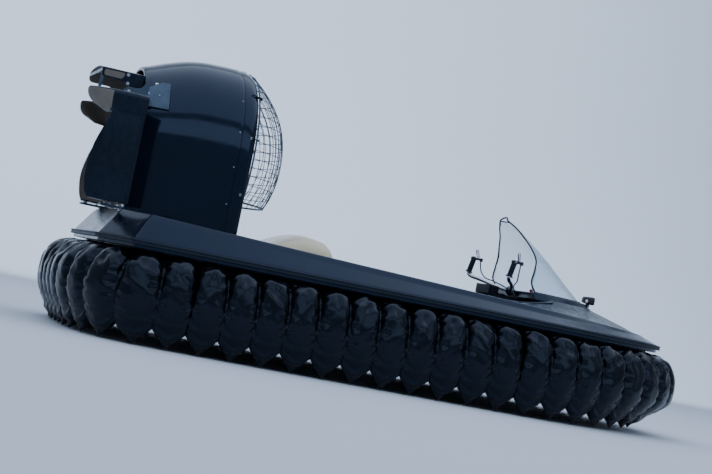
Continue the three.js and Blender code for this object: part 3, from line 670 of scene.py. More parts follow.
def revolved(name: str, profile: Sequence[tuple[float, float]], start: Sequence[float],
             direction: Sequence[float], finish: Finish, sides: int = 32) -> Piece:
    """A turned piece.

    Args:
        name: the piece's name.
        profile: distance along the axis and radius, from end to end; the ends are closed.
        start: where the axis starts.
        direction: where it points.
        finish: the piece's finish.
        sides: faces round it.

    Returns:
        The new piece.
    """
    axis = np.array(direction, float) / np.linalg.norm(direction)
    side = np.cross(axis, (0, 0, 1) if abs(axis[2]) < 0.9 else (1, 0, 0))
    side /= np.linalg.norm(side)
    other = np.cross(axis, side)
    turn = np.linspace(0, 2 * math.pi, sides, endpoint=False)[:, None]
    rings = [np.array(start) + axis * at + radius * (np.cos(turn) * side + np.sin(turn) * other)
             for at, radius in profile]
    return loft(name, rings, finish)


def swept(path: Array, section: Array, closed: bool = False, up: Sequence[float] | None = None,
          swell: Array | None = None) -> tuple[Array, list[tuple[int, ...]]]:
    """A section carried along a path.

    Args:
        path: the points of its middle line.
        section: the section's points, sideways and up.
        closed: whether the path closes on itself.
        up: a direction that the section keeps upright to; without it the section doesn't twist.
        swell: the section's size at each point of the path.

    Returns:
        The points and the faces, ends included.
    """
    count = len(path)
    if closed:
        tangent = np.roll(path, -1, axis=0) - np.roll(path, 1, axis=0)
    else:
        tangent = np.gradient(path, axis=0)
    tangent /= np.linalg.norm(tangent, axis=1)[:, None]
    rings = []
    raised = np.array(up if up is not None else (0.0, 0.0, 1.0))
    if up is None and abs(tangent[0] @ raised) > 0.95:
        raised = np.array((1.0, 0.0, 0.0))
    for k in range(count):
        side = np.cross(tangent[k], raised)
        side /= np.linalg.norm(side)
        top = np.cross(side, tangent[k])
        if up is None:
            raised = top
        size = 1.0 if swell is None else swell[k]
        rings.append(path[k] + size * (section[:, :1] * side + section[:, 1:] * top))
    sides = len(section)
    faces = grid(count, sides, around=True)
    last = (count - 1) * sides
    if closed:
        faces += [(last + c, last + (c + 1) % sides, (c + 1) % sides, c) for c in range(sides)]
    else:
        faces += [tuple(range(sides))[::-1], tuple(range(last, last + sides))]
    return np.concatenate(rings), faces


def tube(name: str, route: Sequence[Sequence[float]], radius: float, finish: Finish, steps: int,
         sides: int) -> Piece:
    """A round bar or hose along a smooth route, with closed ends."""
    return piece_from(name, *swept(resampled(route, steps), circle(radius, sides)), finish)


def extruded(name: str, outline: Array | Sequence, axis: int, low: float, high: float,
             finish: Finish, bevel: float = 0.0) -> Piece:
    """A plate of an outline.

    Args:
        name: the piece's name.
        outline: points in the two directions other than the axis, in their X, Y, Z order.
        axis: 0, 1 or 2, the direction of its thickness.
        low: where it starts along the axis.
        high: where it ends.
        finish: its finish.
        bevel: the rounding of its sharp edges.

    Returns:
        The new piece.
    """
    flat = np.array(outline, float)
    rings = [np.insert(flat, axis, at, axis=1) for at in (low, high)]
    piece = loft(name, rings, finish)
    return bevelled(piece, bevel) if bevel else piece


def joined(name: str, pieces: Sequence[Piece]) -> Piece:
    """Makes several pieces one mesh, each keeping its material.

    Args:
        name: the name of the whole.
        pieces: what to join; they are used up.

    Returns:
        The whole piece.
    """
    slots: list[bpy.types.Material] = []
    work = bmesh.new()
    for piece in pieces:
        numbers = []
        for material in piece.data.materials:
            if material not in slots:
                slots.append(material)
            numbers.append(slots.index(material))
        start = len(work.faces)
        work.from_mesh(piece.data)
        work.faces.ensure_lookup_table()
        for face in work.faces[start:]:
            face.material_index = numbers[min(face.material_index, len(numbers) - 1)]
    mesh = bpy.data.meshes.new(name)
    work.to_mesh(mesh)
    work.free()
    for material in slots:
        mesh.materials.append(material)
    for piece in pieces:
        bpy.data.objects.remove(piece)
    return linked(name, mesh)


def mirrored(piece: Piece, name: str) -> Piece:
    """Copies a piece to the other side of the craft.

    Args:
        piece: the piece, which stays.
        name: the copy's name.

    Returns:
        The copy.
    """
    mesh = piece.data.copy()
    mesh.transform(Matrix.Scale(-1, 4, Vector((0, 1, 0))))
    mesh.flip_normals()
    return linked(name, mesh)


def refined(node: str, finish: Finish, width: float = 0.003, segments: int = 3) -> Piece:
    """A merged copy of a CAD node with its edges rounded.

    Args:
        node: the CAD node.
        finish: its finish.
        width: where the rounding starts.
        segments: faces across the rounding.

    Returns:
        The new piece, which stands for the node.
    """
    work = bmesh.new()
    work.from_mesh(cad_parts[node].data)
    bmesh.ops.remove_doubles(work, verts=work.verts, dist=MERGE_DISTANCE)
    bmesh.ops.dissolve_limit(work, angle_limit=math.radians(1.5), verts=work.verts, edges=work.edges)
    mesh = bpy.data.meshes.new(node + "_finished")
    work.to_mesh(mesh)
    work.free()
    mesh.materials.append(finish.material())
    mesh.shade_smooth()
    return bevelled(linked(mesh.name, mesh), width, segments)


def cut(piece: Piece, tool: Piece) -> None:
    """Cuts a piece by another one, which is used up.

    Args:
        piece: the piece.
        tool: what is taken away.
    """
    boolean = piece.modifiers.new("cut", "BOOLEAN")
    boolean.operation = "DIFFERENCE"
    boolean.solver = "EXACT"
    boolean.object = tool
    applied(piece)
    bpy.data.objects.remove(tool)


def settle(piece: Piece, slot: str, *nodes: str, body: Body = Body.CRAFT) -> Piece:
    """Lets a piece ride on its body and stand for CAD nodes.

    Args:
        piece: the finished piece.
        slot: not used.
        nodes: the CAD nodes that it replaces.
        body: what it moves with.

    Returns:
        The same piece.
    """
    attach(piece, body.value)
    if nodes:
        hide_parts(*nodes)
    log.info("%s: %d faces on %s", piece.name, len(piece.data.polygons), body.value)
    return piece


@dataclass(frozen=True)
class Rim:
    """Plan of the hard rim: a blunt bow, straight sides and facetted quarters."""

    transom_half: float = 0.470
    stern: float = -1.830
    corners: tuple[tuple[float, float], ...] = ((-1.330, 0.915), (-1.690, 0.870), (-1.830, 0.470))
    corner_round: tuple[float, ...] = (0.150, 0.195, 0.195)
    bow_curve: tuple[tuple[float, float], ...] = ((1.830, 0.0), (1.830, 0.560), (1.230, 0.915),
                                                  (0.600, 0.915))
    crease_round: float = 0.022
    transom_steps: int = 10

    def _bow(self, count: int) -> tuple[Array, Array]:
        """The port bow from the tip.

        Args:
            count: how many points.

        Returns:
            The points, and the directions inwards.
        """
        t = np.linspace(0, 1, count)[:, None]
        p = np.array(self.bow_curve)
        points = ((1 - t) ** 3 * p[0] + 3 * t * (1 - t) ** 2 * p[1] + 3 * t ** 2 * (1 - t) * p[2]
                  + t ** 3 * p[3])
        run = bend(p[1] - p[0], p[2] - p[1], p[3] - p[2], t)
        run /= np.linalg.norm(run, axis=1)[:, None]
        return points, stacked(-run[:, 1], run[:, 0])

    def half_ring(self, inset: float) -> Array:
        """The port half of the rim moved inwards.

        Args:
            inset: how far inwards.

        Returns:
            Points from the bow's tip to the middle of the transom.
        """
        bow, inward = self._bow(44)
        points = [bow + inset * inward]
        knots = np.array([self.bow_curve[-1], *self.corners, (self.stern, 0.0)])
        run = np.diff(knots, axis=0)
        run /= np.linalg.norm(run, axis=1)[:, None]
        moved = knots[:-1] + inset * stacked(-run[:, 1], run[:, 0])
        start = points[0][-1]
        for k, steps in enumerate((30, 8, 8)):
            across = run[k][0] * run[k + 1][1] - run[k][1] * run[k + 1][0]
            gap = moved[k + 1] - moved[k]
            corner = moved[k] + (gap[0] * run[k + 1][1] - gap[1] * run[k + 1][0]) / across * run[k]
            half = math.acos(float(np.clip(run[k] @ run[k + 1], -1, 1))) / 2
            size = self.crease_round * math.tan(half) * (4 if k == 0 else 1)
            a, b = corner - run[k] * size, corner + run[k + 1] * size
            points.append(start + (a - start) * np.linspace(0, 1, steps + 1)[1:, None])
            points.append(bend(a, corner, b, np.linspace(0, 1, 5)[1:, None]))
            start = b
        end = np.array([start[0], 0.0])
        points.append(start + (end - start) * np.linspace(0, 1, self.transom_steps + 1)[1:, None])
        return np.concatenate(points)

    def ring(self, inset: float) -> Array:
        """The whole rim moved inwards, anticlockwise from the bow's tip."""
        port = self.half_ring(inset)
        return np.concatenate([port, port[-2:0:-1] * (1, -1)])

    def smooth_line(self) -> Array:
        """The rim with wide rounded quarters, which the hull's sides and the skirt follow.

        Returns:
            Points all round, from the bow's tip to port.
        """
        points = [self._bow(500)[0]]
        corners = np.array([*self.corners, (self.stern, -self.transom_half)])
        before = np.array(self.bow_curve[-1])
        for corner, after, size in zip(corners, corners[1:], self.corner_round):
            a = corner + (before - corner) / np.linalg.norm(before - corner) * size
            b = corner + (after - corner) / np.linalg.norm(after - corner) * size
            points.append(bend(a, corner, b, np.linspace(0, 1, 60)[:, None]))
            before = corner
        points.append(np.array([[self.stern, 0.0]]))
        port = np.concatenate(points)
        return np.concatenate([port, port[-2::-1] * (1, -1)])


RIM = Rim()


@dataclass
class DeckMoulding:
    """Upper moulding: the lip, the sloped facets, the raised gunwale and the decks inside it."""

    lip_bottom: float = 0.505
    lip_top: float = 0.552
    facet_top: Table = field(default_factory=lambda: Table(
        ((-1.83, 0.672), (-1.1, 0.645), (0.15, 0.609), (0.9, 0.590), (1.735, 0.579))))
    cap_rise: Table = field(default_factory=lambda: Table(
        ((-1.83, 0.033), (0.6, 0.032), (1.2, 0.022), (1.705, 0.009))))
    outer: Table = field(default_factory=lambda: Table(
        ((-1.83, 0.652), (-0.9, 0.652), (0.15, 0.632), (0.9, 0.636), (1.5, 0.650))))
    inner: Table = field(default_factory=lambda: Table(
        ((-1.83, 0.650), (-0.9, 0.650), (0.15, 0.628), (0.7, 0.636), (1.0, 0.688), (1.36, 0.690))))
    insets: tuple[float, ...] = (0.075, 0.015, 0.015, 0.095, 0.123, 0.158, 0.330, 0.470)
    rounds: tuple[float, ...] = (0.0, 0.003, 0.005, 0.009, 0.009, 0.012, 0.050, 0.0)
    between: tuple[int, ...] = (1, 1, 3, 2, 1, 4, 4)
    cockpit: tuple[float, ...] = (-0.400, 0.950, 0.440)
    bay: tuple[float, ...] = (-0.980, -0.440, 0.300)
    walked: float = 0.175

    def heights(self, x: Array) -> Array:
        """The section's heights along the craft.

        Args:
            x: where along the craft.

        Returns:
            The height of each knot of the section, for each x.
        """
        facet = self.facet_top.at(x)
        cap = facet + self.cap_rise.at(x)
        ones = np.ones_like(facet)
        return np.stack([ones * self.lip_bottom, ones * self.lip_bottom, ones * self.lip_top, facet, cap,
                         cap + 0.001, self.outer.at(x), self.inner.at(x)])

    def _shares(self) -> Array:
        """Rounds the section's corners.

        Returns:
            For each ring of the section, how much of each knot it takes.
        """
        nominal = stacked(self.insets, self.heights(np.array([0.0]))[:, 0])
        unit = np.eye(len(nominal))
        rows = [unit[0]]
        for k in range(1, len(nominal)):
            length = float(np.linalg.norm(nominal[k] - nominal[k - 1]))
            start = self.rounds[k - 1] / length if k > 1 else 0.0
            for t in np.linspace(start, 1 - self.rounds[k] / length, self.between[k - 1] + 2)[1:]:
                rows.append((1 - t) * unit[k - 1] + t * unit[k])
            if self.rounds[k]:
                after = self.rounds[k] / float(np.linalg.norm(nominal[k + 1] - nominal[k]))
                ends = rows[-1], (1 - after) * unit[k] + after * unit[k + 1]
                rows += [bend(ends[0], unit[k], ends[1], t) for t in np.linspace(0, 1, 6)[1:]]
        return np.array(rows)

    def top_at(self, x: float, inset: float) -> float:
        """Height of the deck's surface inside the gunwale."""
        z = self.heights(np.array([x]))[:, 0]
        return float(np.interp(inset, self.insets[4:], z[4:]))

    def _middle(self, height: Callable[[Array], Array], first: int) -> tuple[Array, list]:
        """The patch inside the innermost ring, in rows from port to starboard.

        Args:
            height: the patch's height by the place along the craft.
            first: the number of its first point.

        Returns:
            Its points and faces.
        """
        columns = 2 * RIM.transom_steps + 1
        port = RIM.half_ring(self.insets[-1])[:-RIM.transom_steps]
        x = np.repeat(port[:, 0], columns)
        y = (port[:, 1:] * np.linspace(1, -1, columns)).ravel()
        return stacked(x, y, height(x)), grid(len(port), columns, first=first)

    def build(self) -> Piece:
        """Builds the moulding, with its cockpit and engine bay cut out.

        Returns:
            The moulding.
        """
        rings = [stacked(*RIM.ring(self.insets[-1]).T, self.lip_bottom)]
        for share in self._shares():
            plan = RIM.ring(float(share @ np.array(self.insets)))
            rings.append(stacked(*plan.T, share @ self.heights(plan[:, 0])))
        points = np.concatenate(rings)
        top, top_faces = self._middle(lambda x: self.heights(x)[-1], len(points))
        floor, floor_faces = self._middle(lambda x: np.full(len(x), self.lip_bottom), len(points) + len(top))
        faces = grid(len(rings), len(rings[0]), around=True) + top_faces + floor_faces
        piece = piece_from("deck_moulding", np.concatenate([points, top, floor]), faces, HULL_GELCOAT, 50)
        piece.data.materials.append(DECK_GELCOAT.material())
        for name, (rear, front, half), size in (("well", self.cockpit, 0.07), ("bay", self.bay, 0.03)):
            outline = rounded(rectangle(rear, -half, front, half), size, 6)
            cut(piece, extruded(name, outline, 2, 0.45, 0.80, HULL_GELCOAT))
        walk = RIM.half_ring(self.walked)[::-1]
        for polygon in piece.data.polygons:
            half = np.interp(polygon.center.x - FORWARD, walk[:, 0], walk[:, 1])
            inside = abs(polygon.center.y) < half and abs(polygon.normal.z) > 0.5
            polygon.material_index = int(inside and polygon.center.z > self.lip_top)
        piece.data.set_sharp_from_angle(angle=math.radians(50))
        return settle(piece, "gelcoat", "deck")

    def rail(self) -> Piece:
        """The rubber section round the lip, with a groove along its middle.

        Returns:
            The rail.
        """
        section = ((0.0147, 0.523), (-0.004, 0.523), (-0.0075, 0.5255), (-0.008, 0.529), (-0.0045, 0.533),
                   (-0.0045, 0.539), (-0.008, 0.543), (-0.0075, 0.5465), (-0.004, 0.549), (0.0147, 0.549))
        rings = [stacked(*RIM.ring(inset).T, z) for inset, z in (*section, section[0])]
        rail = loft("rub_rail_section", rings, RUBBER, capped=False, crease=30)
        return settle(rail, "rail_rubber", "rub_rail")


@dataclass
class Skirt:
    """The row of inflated cloth fingers round the hull, in four runs that meet at seams."""

    stations: int = 112
    columns: int = 26
    outer_rows: int = 54
    inner_rows: int = 8
    facets: int = 11
    facet_bend: float = 5.5
    facet_depth: float = 0.012
    half_finger: float = 0.08
    drop: float = 0.62
    creased: float = 0.44
    bow_tuck: float = 0.18
    bow_lift: float = 0.04
    tuck_below: float = 0.21
    sample_fingers: int = 8
    cloth_shift: float = 0.006
    least_height: float = 0.0015
    fullness: tuple[float, float, float] = (0.80, 0.12, 0.30)
    side_ends: tuple[float, float] = (0.650, -1.280)
    gap: float = 0.00015
    cloth_thickness: float = 0.0018
    crest: tuple[tuple[float, float], ...] = (
        (-0.0765, 0.4985), (-0.040, 0.490), (0.012, 0.481), (0.062, 0.463), (0.102, 0.428), (0.133, 0.370),
        (0.146, 0.298), (0.141, 0.222), (0.118, 0.145), (0.082, 0.068), (0.045, 0.003))
    seam: tuple[tuple[float, float], ...] = (
        (-0.0765, 0.4985), (-0.052, 0.474), (-0.014, 0.450), (0.030, 0.420), (0.072, 0.372), (0.106, 0.308),
        (0.121, 0.245), (0.110, 0.195), (0.090, 0.145), (0.064, 0.100))
    hull_edge: tuple[float, float] = (-0.1885, 0.222)

    def __post_init__(self) -> None:
        """Works out the line that the stations are spaced along."""
        self._line = RIM.smooth_line()
        self._run = run_of(self._line)
        self.pitch = self._run[-1] / self.stations
        places = self.place(np.arange(self.stations // 2))
        even = np.arange(0, self.stations // 2, 2)
        self.front = int(even[np.argmin(np.abs(places[even, 0] - self.side_ends[0]))])
        self.rear = int(even[np.argmin(np.abs(places[even, 0] - self.side_ends[1]))])

    def place(self, station: Array) -> Array:
        """Points of the rim at stations, which may lie between whole numbers."""
        at = np.mod(np.asarray(station, float), self.stations) * self.pitch
        return stacked(*(np.interp(at, self._run, self._line[:, c]) for c in (0, 1)))

    def outward(self, station: Array) -> Array:
        """Directions out of the rim.

        Args:
            station: where along the rim.

        Returns:
            One direction for each station.
        """
        run = self.place(np.asarray(station) + 0.5) - self.place(np.asarray(station) - 0.5)
        run /= np.linalg.norm(run, axis=1)[:, None]
        return stacked(run[:, 1], -run[:, 0])

    def _sections(self) -> tuple[Array, Array]:
        """The crest's and the seam's paths from the hull down to the hem and back up inside.

        Returns:
            The crest's and the seam's points, outward and up.
        """
        paths = []
        for table in (self.crest, self.seam):
            outer = resampled(table, self.outer_rows)
            hem, end = outer[-1], np.array(self.hull_edge)
            t = np.linspace(0, 1, self.inner_rows + 1)[1:, None]
            sag = np.array([[0.0, -0.018]]) * np.sin(math.pi * t)
            paths.append(np.concatenate([outer, hem + (end - hem) * t + sag]))
        return paths[0], paths[1]

    def _shape(self, first: int, last: int) -> tuple[Array, Array]:
        """The cloth before it is blown up.

        Args:
            first: the first station.
            last: the last one.

        Returns:
            Outward and up, each as rows by columns.
        """
        crest, seam = self._sections()
        u = np.linspace(0, (last - first) // 2, (last - first) // 2 * self.columns + 1)
        across = np.abs(2 * (u - np.floor(u)) - 1)
        power = np.interp(np.arange(len(crest)), (0, self.outer_rows * 0.45), (1.3, 4.0))
        bulge = (1 - across[None, :] ** power[:, None]) ** 0.7
        point = 1 - across
        hem = np.clip((np.arange(len(crest)) - self.outer_rows * 0.62) / (self.outer_rows * 0.38), 0, 1)
        share = bulge * (1 - hem[:, None]) + point[None, :] * hem[:, None]
        out = seam[:, :1] + (crest[:, :1] - seam[:, :1]) * share
        up = seam[:, 1:] + (crest[:, 1:] - seam[:, 1:]) * share
        return out, up

    def _crumple(self) -> Array:
        """Blows up a straight sample run as cloth.

        Returns:
            How far each point moved along the run, outward and up, as fingers by rows by columns by 3.
        """
        fingers, columns = self.sample_fingers, self.columns
        out, up = self._shape(0, 2 * fingers)
        along = np.broadcast_to(np.linspace(0, 2 * fingers * self.pitch, out.shape[1]), out.shape)
        mesh = bpy.data.meshes.new("sample_run")
        mesh.from_pydata(np.stack([along, out, up], axis=2).reshape(-1, 3).tolist(), [], grid(*out.shape))
        sample = linked("sample_run", mesh)
        pins = sample.vertex_groups.new(name="pins")
        held = np.zeros(out.shape)
        held[0], held[-1], held[1] = 1, 1, 0.7
        held[:, np.arange(out.shape[1]) % columns == 0] = 1
        held[self.outer_rows - 1:, :] = 1
        for weight in (0.7, 1.0):
            pins.add(np.flatnonzero(held.ravel() == weight).tolist(), weight, "REPLACE")
        cloth = sample.modifiers.new("cloth", "CLOTH")
        s = cloth.settings
        s.quality = 7
        s.mass = 0.12
        s.tension_stiffness = 22
        s.compression_stiffness = 22
        s.shear_stiffness = 9
        s.bending_stiffness = 0.15
        s.vertex_group_mass = "pins"
        s.shrink_min = -0.08
        s.use_pressure = True
        s.uniform_pressure_force = 1.2
        s.effector_weights.gravity = 0.1
        cloth.collision_settings.use_self_collision = False
        shift = blown(sample, 26, self.cloth_shift).reshape(*out.shape, 3)
        bpy.data.objects.remove(sample)
        return np.stack([shift[:, k * columns:(k + 1) * columns + 1] for k in range(fingers)])

    def build(self) -> list[Piece]:
        """Builds the four runs.

        Returns:
            The pieces.
        """
        crumple = np.zeros((1, self.outer_rows + self.inner_rows, self.columns + 1, 3))
        crumple = self._crumple()
        whole = self.stations
        runs = (("bow", -self.front, self.front), ("port", self.front, self.rear),
                ("stern", self.rear, whole - self.rear), ("starboard", whole - self.rear, whole - self.front))
        return [self._run_piece(name, first, last, crumple) for name, first, last in runs]

    def _facets(self, number: int) -> Array:
        """How far a finger's cloth stands in or out: hollow panels that meet at crisp slanting creases.

        Args:
            number: the finger's number, which its panels are drawn by.

        Returns:
            Distances as rows by columns by 1.
        """
        random = np.random.default_rng(100 + number)
        half = self.half_finger
        down = np.linspace(0, self.drop, self.outer_rows)
        down = np.concatenate([down, np.full(self.inner_rows, self.drop)])[:, None]
        across = np.linspace(-half, half, self.columns + 1)[None]
        slant = random.uniform(0.35, 0.9) * random.choice((-1, 1))
        nearest = np.full((len(down), self.columns + 1), np.inf)
        for _ in range(self.facets):
            low, side = random.uniform(0.03, self.creased), random.uniform(-half, half)
            tilt = slant + random.uniform(-0.4, 0.4)
            away = (0.75 * (down - low)) ** 2 + (across - side + tilt * (down - low)) ** 2
            nearest = np.minimum(nearest, away)
        depth = np.minimum(self.facet_bend * nearest, self.facet_depth) - self.facet_depth * 0.3
        edge = np.clip((half - np.abs(across)) / 0.012, 0, 1)
        ends = np.clip(down / 0.04, 0, 1) * np.clip((self.creased - down) / 0.22, 0, 1)
        return (depth * edge * ends)[..., None]

    def _run_piece(self, name: str, first: int, last: int, crumple: Array) -> Piece:
        """One run of fingers between two seams.

        Args:
            name: the run's name.
            first: its first station.
            last: its last station.
            crumple: the sample run's shifts.

        Returns:
            The run.
        """
        out, up = self._shape(first, last)
        fingers = (last - first) // 2
        shift = np.zeros((*out.shape, 3))
        for k in range(fingers):
            number = first // 2 + k
            sample = crumple[(number * 5) % len(crumple)]
            if number % 2:
                sample = sample[:, ::-1] * (-1, 1, 1)
            sample = sample + self._facets(number) * np.array([0, 0.8, 0.6])
            shift[:, k * self.columns:(k + 1) * self.columns + 1] = sample
        station = np.linspace(first, last, out.shape[1])
        station[0] += self.gap / self.pitch
        station[-1] -= self.gap / self.pitch
        place, outward = self.place(station), self.outward(station)
        run = np.stack([-outward[:, 1], outward[:, 0]], axis=1)
        base, bow, stern = self.fullness
        full = base + np.where(outward[:, 0] > 0, bow, stern) * np.abs(outward[:, 0])
        tuck = np.clip(1 - up / self.tuck_below, 0, 1)
        tuck[self.outer_rows:] = tuck[self.outer_rows - 1] * np.linspace(1, 0, self.inner_rows + 1)[1:, None]
        tuck *= np.clip(outward[:, 0], 0, 1) ** 1.5
        reach = np.where(out > 0, out * full, out) + shift[..., 1] - self.bow_tuck * tuck
        plan = place[None] + outward[None] * reach[..., None] + run[None] * shift[..., :1]
        height = np.maximum(up + shift[..., 2] + self.bow_lift * tuck, self.least_height)
        points = np.concatenate([plan, height[..., None]], axis=2)
        piece = piece_from(f"skirt_fingers_{name}", points.reshape(-1, 3), grid(*out.shape), SKIRT_CLOTH,
                           crease=180)
        facing_from(piece, (FORWARD, 0, 0.3))
        walled(piece, self.cloth_thickness)
        return settle(piece, "skirt_fabric", f"skirt_{name}")


def new_tree(name: str, result: str, **inputs: str) -> tuple[bpy.types.NodeTree, bpy.types.NodeOutputs]:
    """Starts a Geometry Nodes tree.

    Args:
        name: the tree's name.
        result: its output's name.
        inputs: each input's kind by its name, with underscores for spaces.

    Returns:
        The tree and its inputs.
    """
    tree = bpy.data.node_groups.new(name, "GeometryNodeTree")
    for label, kind in inputs.items():
        tree.interface.new_socket(name=label.replace("_", " "), in_out="INPUT",
                                  socket_type=f"NodeSocket{kind}")
    tree.interface.new_socket(name=result, in_out="OUTPUT", socket_type="NodeSocketGeometry")
    return tree, add_node(tree, "NodeGroupInput").outputs


@cache
def fastener_tree() -> bpy.types.NodeTree:
    """Makes the tree that puts a head with a washer on each point, faced as the point is, at a random spin.

    Returns:
        The tree.
    """
    tree, given = new_tree("fastener_heads", "Heads", Points="Geometry", Head_Radius="Float",
                           Head_Height="Float", Sides="Int", Washer_Radius="Float", Seed="Int",
                           Finish="Material")
    top = add_node(tree, "ShaderNodeMath", {"operation": "MULTIPLY", 1: 0.8}, {0: given["Head Radius"]})
    head = add_node(tree, "GeometryNodeMeshCone", {},
                    {"Vertices": given["Sides"], "Radius Bottom": given["Head Radius"], "Radius Top": top,
                     "Depth": given["Head Height"]})
    rim = add_node(tree, "ShaderNodeMath", {"operation": "MULTIPLY", 1: 0.25}, {0: given["Head Height"]})
    washer = add_node(tree, "GeometryNodeMeshCylinder", {"Vertices": 16},
                      {"Radius": given["Washer Radius"], "Depth": rim})
    both = add_node(tree, "GeometryNodeJoinGeometry", links={0: head})
    tree.links.new(washer.outputs[0], both.inputs[0])
    facing = add_node(tree, "GeometryNodeInputNamedAttribute",
                      {"data_type": "FLOAT_VECTOR", "Name": "facing"})
    turned = add_node(tree, "FunctionNodeAlignRotationToVector", {"axis": "Z"},
                      {"Vector": facing.outputs["Attribute"]})
    spin = add_node(tree, "FunctionNodeRandomValue", {"data_type": "FLOAT", 2: 0.0, 3: 6.28},
                    {8: given["Seed"]})
    about = add_node(tree, "FunctionNodeAxisAngleToRotation", {"Axis": (0.0, 0.0, 1.0)},
                     {"Angle": spin.outputs[1]})
    rotation = add_node(tree, "FunctionNodeRotateRotation", {"rotation_space": "LOCAL"},
                        {"Rotation": turned, "Rotate By": about})
    placed = add_node(tree, "GeometryNodeInstanceOnPoints", {},
                      {"Points": given["Points"], "Instance": both, "Rotation": rotation})
    return end_tree(tree, placed, given["Finish"])


@cache
def wire_tree() -> bpy.types.NodeTree:
    """Makes the tree that turns lines of edges into round wire with closed ends.

    Returns:
        The tree.
    """
    tree, given = new_tree("round_wires", "Wires", Lines="Geometry", Wire_Radius="Float", Sides="Int",
                           Finish="Material")
    lines = add_node(tree, "GeometryNodeMeshToCurve", links={"Mesh": given["Lines"]})
    ring = add_node(tree, "GeometryNodeCurvePrimitiveCircle", {},
                    {"Resolution": given["Sides"], "Radius": given["Wire Radius"]})
    wires = add_node(tree, "GeometryNodeCurveToMesh", {"Fill Caps": True},
                     {"Curve": lines, "Profile Curve": ring})
    return end_tree(tree, wires, given["Finish"])


@cache
def stitch_tree() -> bpy.types.NodeTree:
    """Makes the tree that puts short stitches at an even spacing along lines of edges.

    Returns:
        The tree.
    """
    tree, given = new_tree("stitch_rows", "Stitches", Lines="Geometry", Spacing="Float",
                           Stitch_Length="Float", Thread_Radius="Float", Finish="Material")
    lines = add_node(tree, "GeometryNodeMeshToCurve", links={"Mesh": given["Lines"]})
    even = add_node(tree, "GeometryNodeResampleCurve", {"mode": "LENGTH"},
                    {"Curve": lines, "Length": given["Spacing"]})
    along = add_node(tree, "GeometryNodeInputTangent")
    turned = add_node(tree, "FunctionNodeAlignRotationToVector", {"axis": "Z"}, {"Vector": along})
    stitch = add_node(tree, "GeometryNodeMeshCylinder", {"Vertices": 6},
                      {"Radius": given["Thread Radius"], "Depth": given["Stitch Length"]})
    placed = add_node(tree, "GeometryNodeInstanceOnPoints", {},
                      {"Points": even, "Instance": stitch, "Rotation": turned})
    return end_tree(tree, placed, given["Finish"])


def end_tree(tree: bpy.types.NodeTree, geometry: bpy.types.Node, finish: Link) -> bpy.types.NodeTree:
    """Ends a tree with real geometry in its finish.

    Args:
        tree: the tree.
        geometry: the node that makes the shapes.
        finish: the input that holds the material.

    Returns:
        The same tree.
    """
    real = add_node(tree, "GeometryNodeRealizeInstances", links={"Geometry": geometry})
    dressed = add_node(tree, "GeometryNodeSetMaterial", {}, {"Geometry": real, "Material": finish})
    add_node(tree, "NodeGroupOutput", links={0: dressed})
    return tree


def grown(name: str, tree: bpy.types.NodeTree, points: Array | Sequence, edges: Sequence[tuple[int, int]],
          sizes: dict[str, object], facing: Array | None = None) -> Piece:
    """Runs a Geometry Nodes tree on points or lines and keeps its result as a plain mesh.

    Args:
        name: the piece's name.
        tree: the tree.
        points: coordinates from the rim's middle.
        edges: pairs of point numbers.
        sizes: values of the tree's named inputs.
        facing: the direction of each point.

    Returns:
        The new piece.
    """
    mesh = bpy.data.meshes.new(name)
    mesh.from_pydata((np.array(points, float) + SHIFT).tolist(), list(edges), [])
    if facing is not None:
        attribute = mesh.attributes.new("facing", "FLOAT_VECTOR", "POINT")
        attribute.data.foreach_set("vector", np.array(facing, float).ravel())
    piece = linked(name, mesh)
    modifier = piece.modifiers.new("grow", "NODES")
    modifier.node_group = tree
    for socket in tree.interface.items_tree:
        if socket.in_out == "INPUT" and socket.name in sizes:
            modifier[socket.identifier] = sizes[socket.name]
    return applied(piece)


def fasteners(name: str, spots: Sequence[tuple[Sequence[float], Sequence[float]]], radius: float,
              finish: Finish, sides: int = 6, height: float = 0.8, washer: float = 1.7) -> Piece:
    """Bolt or rivet heads.

    Args:
        name: the piece's name.
        spots: a point on the surface and the direction that its head faces, for each.
        radius: the head's radius.
        finish: the finish of the heads.
        sides: 6 for a hexagon head, more for a round one.
        height: the head's height as a share of its radius.
        washer: the washer's radius as a share of the head's.

    Returns:
        The new piece.
    """
    return grown(name, fastener_tree(), [s for s, _ in spots], [],
                 {"Head Radius": radius, "Head Height": radius * height, "Sides": sides,
                  "Washer Radius": radius * washer, "Seed": len(spots), "Finish": finish.material()},
                 np.array([f for _, f in spots]))


def lines_of(routes: Sequence[Array]) -> tuple[Array, list[tuple[int, int]]]:
    """Points and edges of several open lines.

    Args:
        routes: the lines' points.

    Returns:
        The points, and pairs of point numbers.
    """
    edges, first = [], 0
    for route in routes:
        edges += [(first + k, first + k + 1) for k in range(len(route) - 1)]
        first += len(route)
    return np.concatenate(routes), edges


def foil(chord: float, thick: float, count: int = 14, camber: float = 0.0) -> Array:
    """An airfoil's outline about the middle of its chord, its nose at negative values.

    Args:
        chord: its length.
        thick: its thickness.
        count: points on each side.
        camber: how high it bends, as a share of the chord.

    Returns:
        The outline's points.
    """
    t = (1 - np.cos(np.linspace(0, math.pi, count))) / 2
    half = 5 * thick * (0.2969 * np.sqrt(t) - 0.126 * t - 0.3516 * t ** 2 + 0.2843 * t ** 3 - 0.1036 * t ** 4)
    half += 0.0012 * t
    middle = camber * chord * 4 * t * (1 - t)
    upper = stacked((t - 0.5) * chord, middle + half)
    lower = stacked((t - 0.5) * chord, middle - half)[::-1]
    return np.concatenate([upper, lower[:-1]])


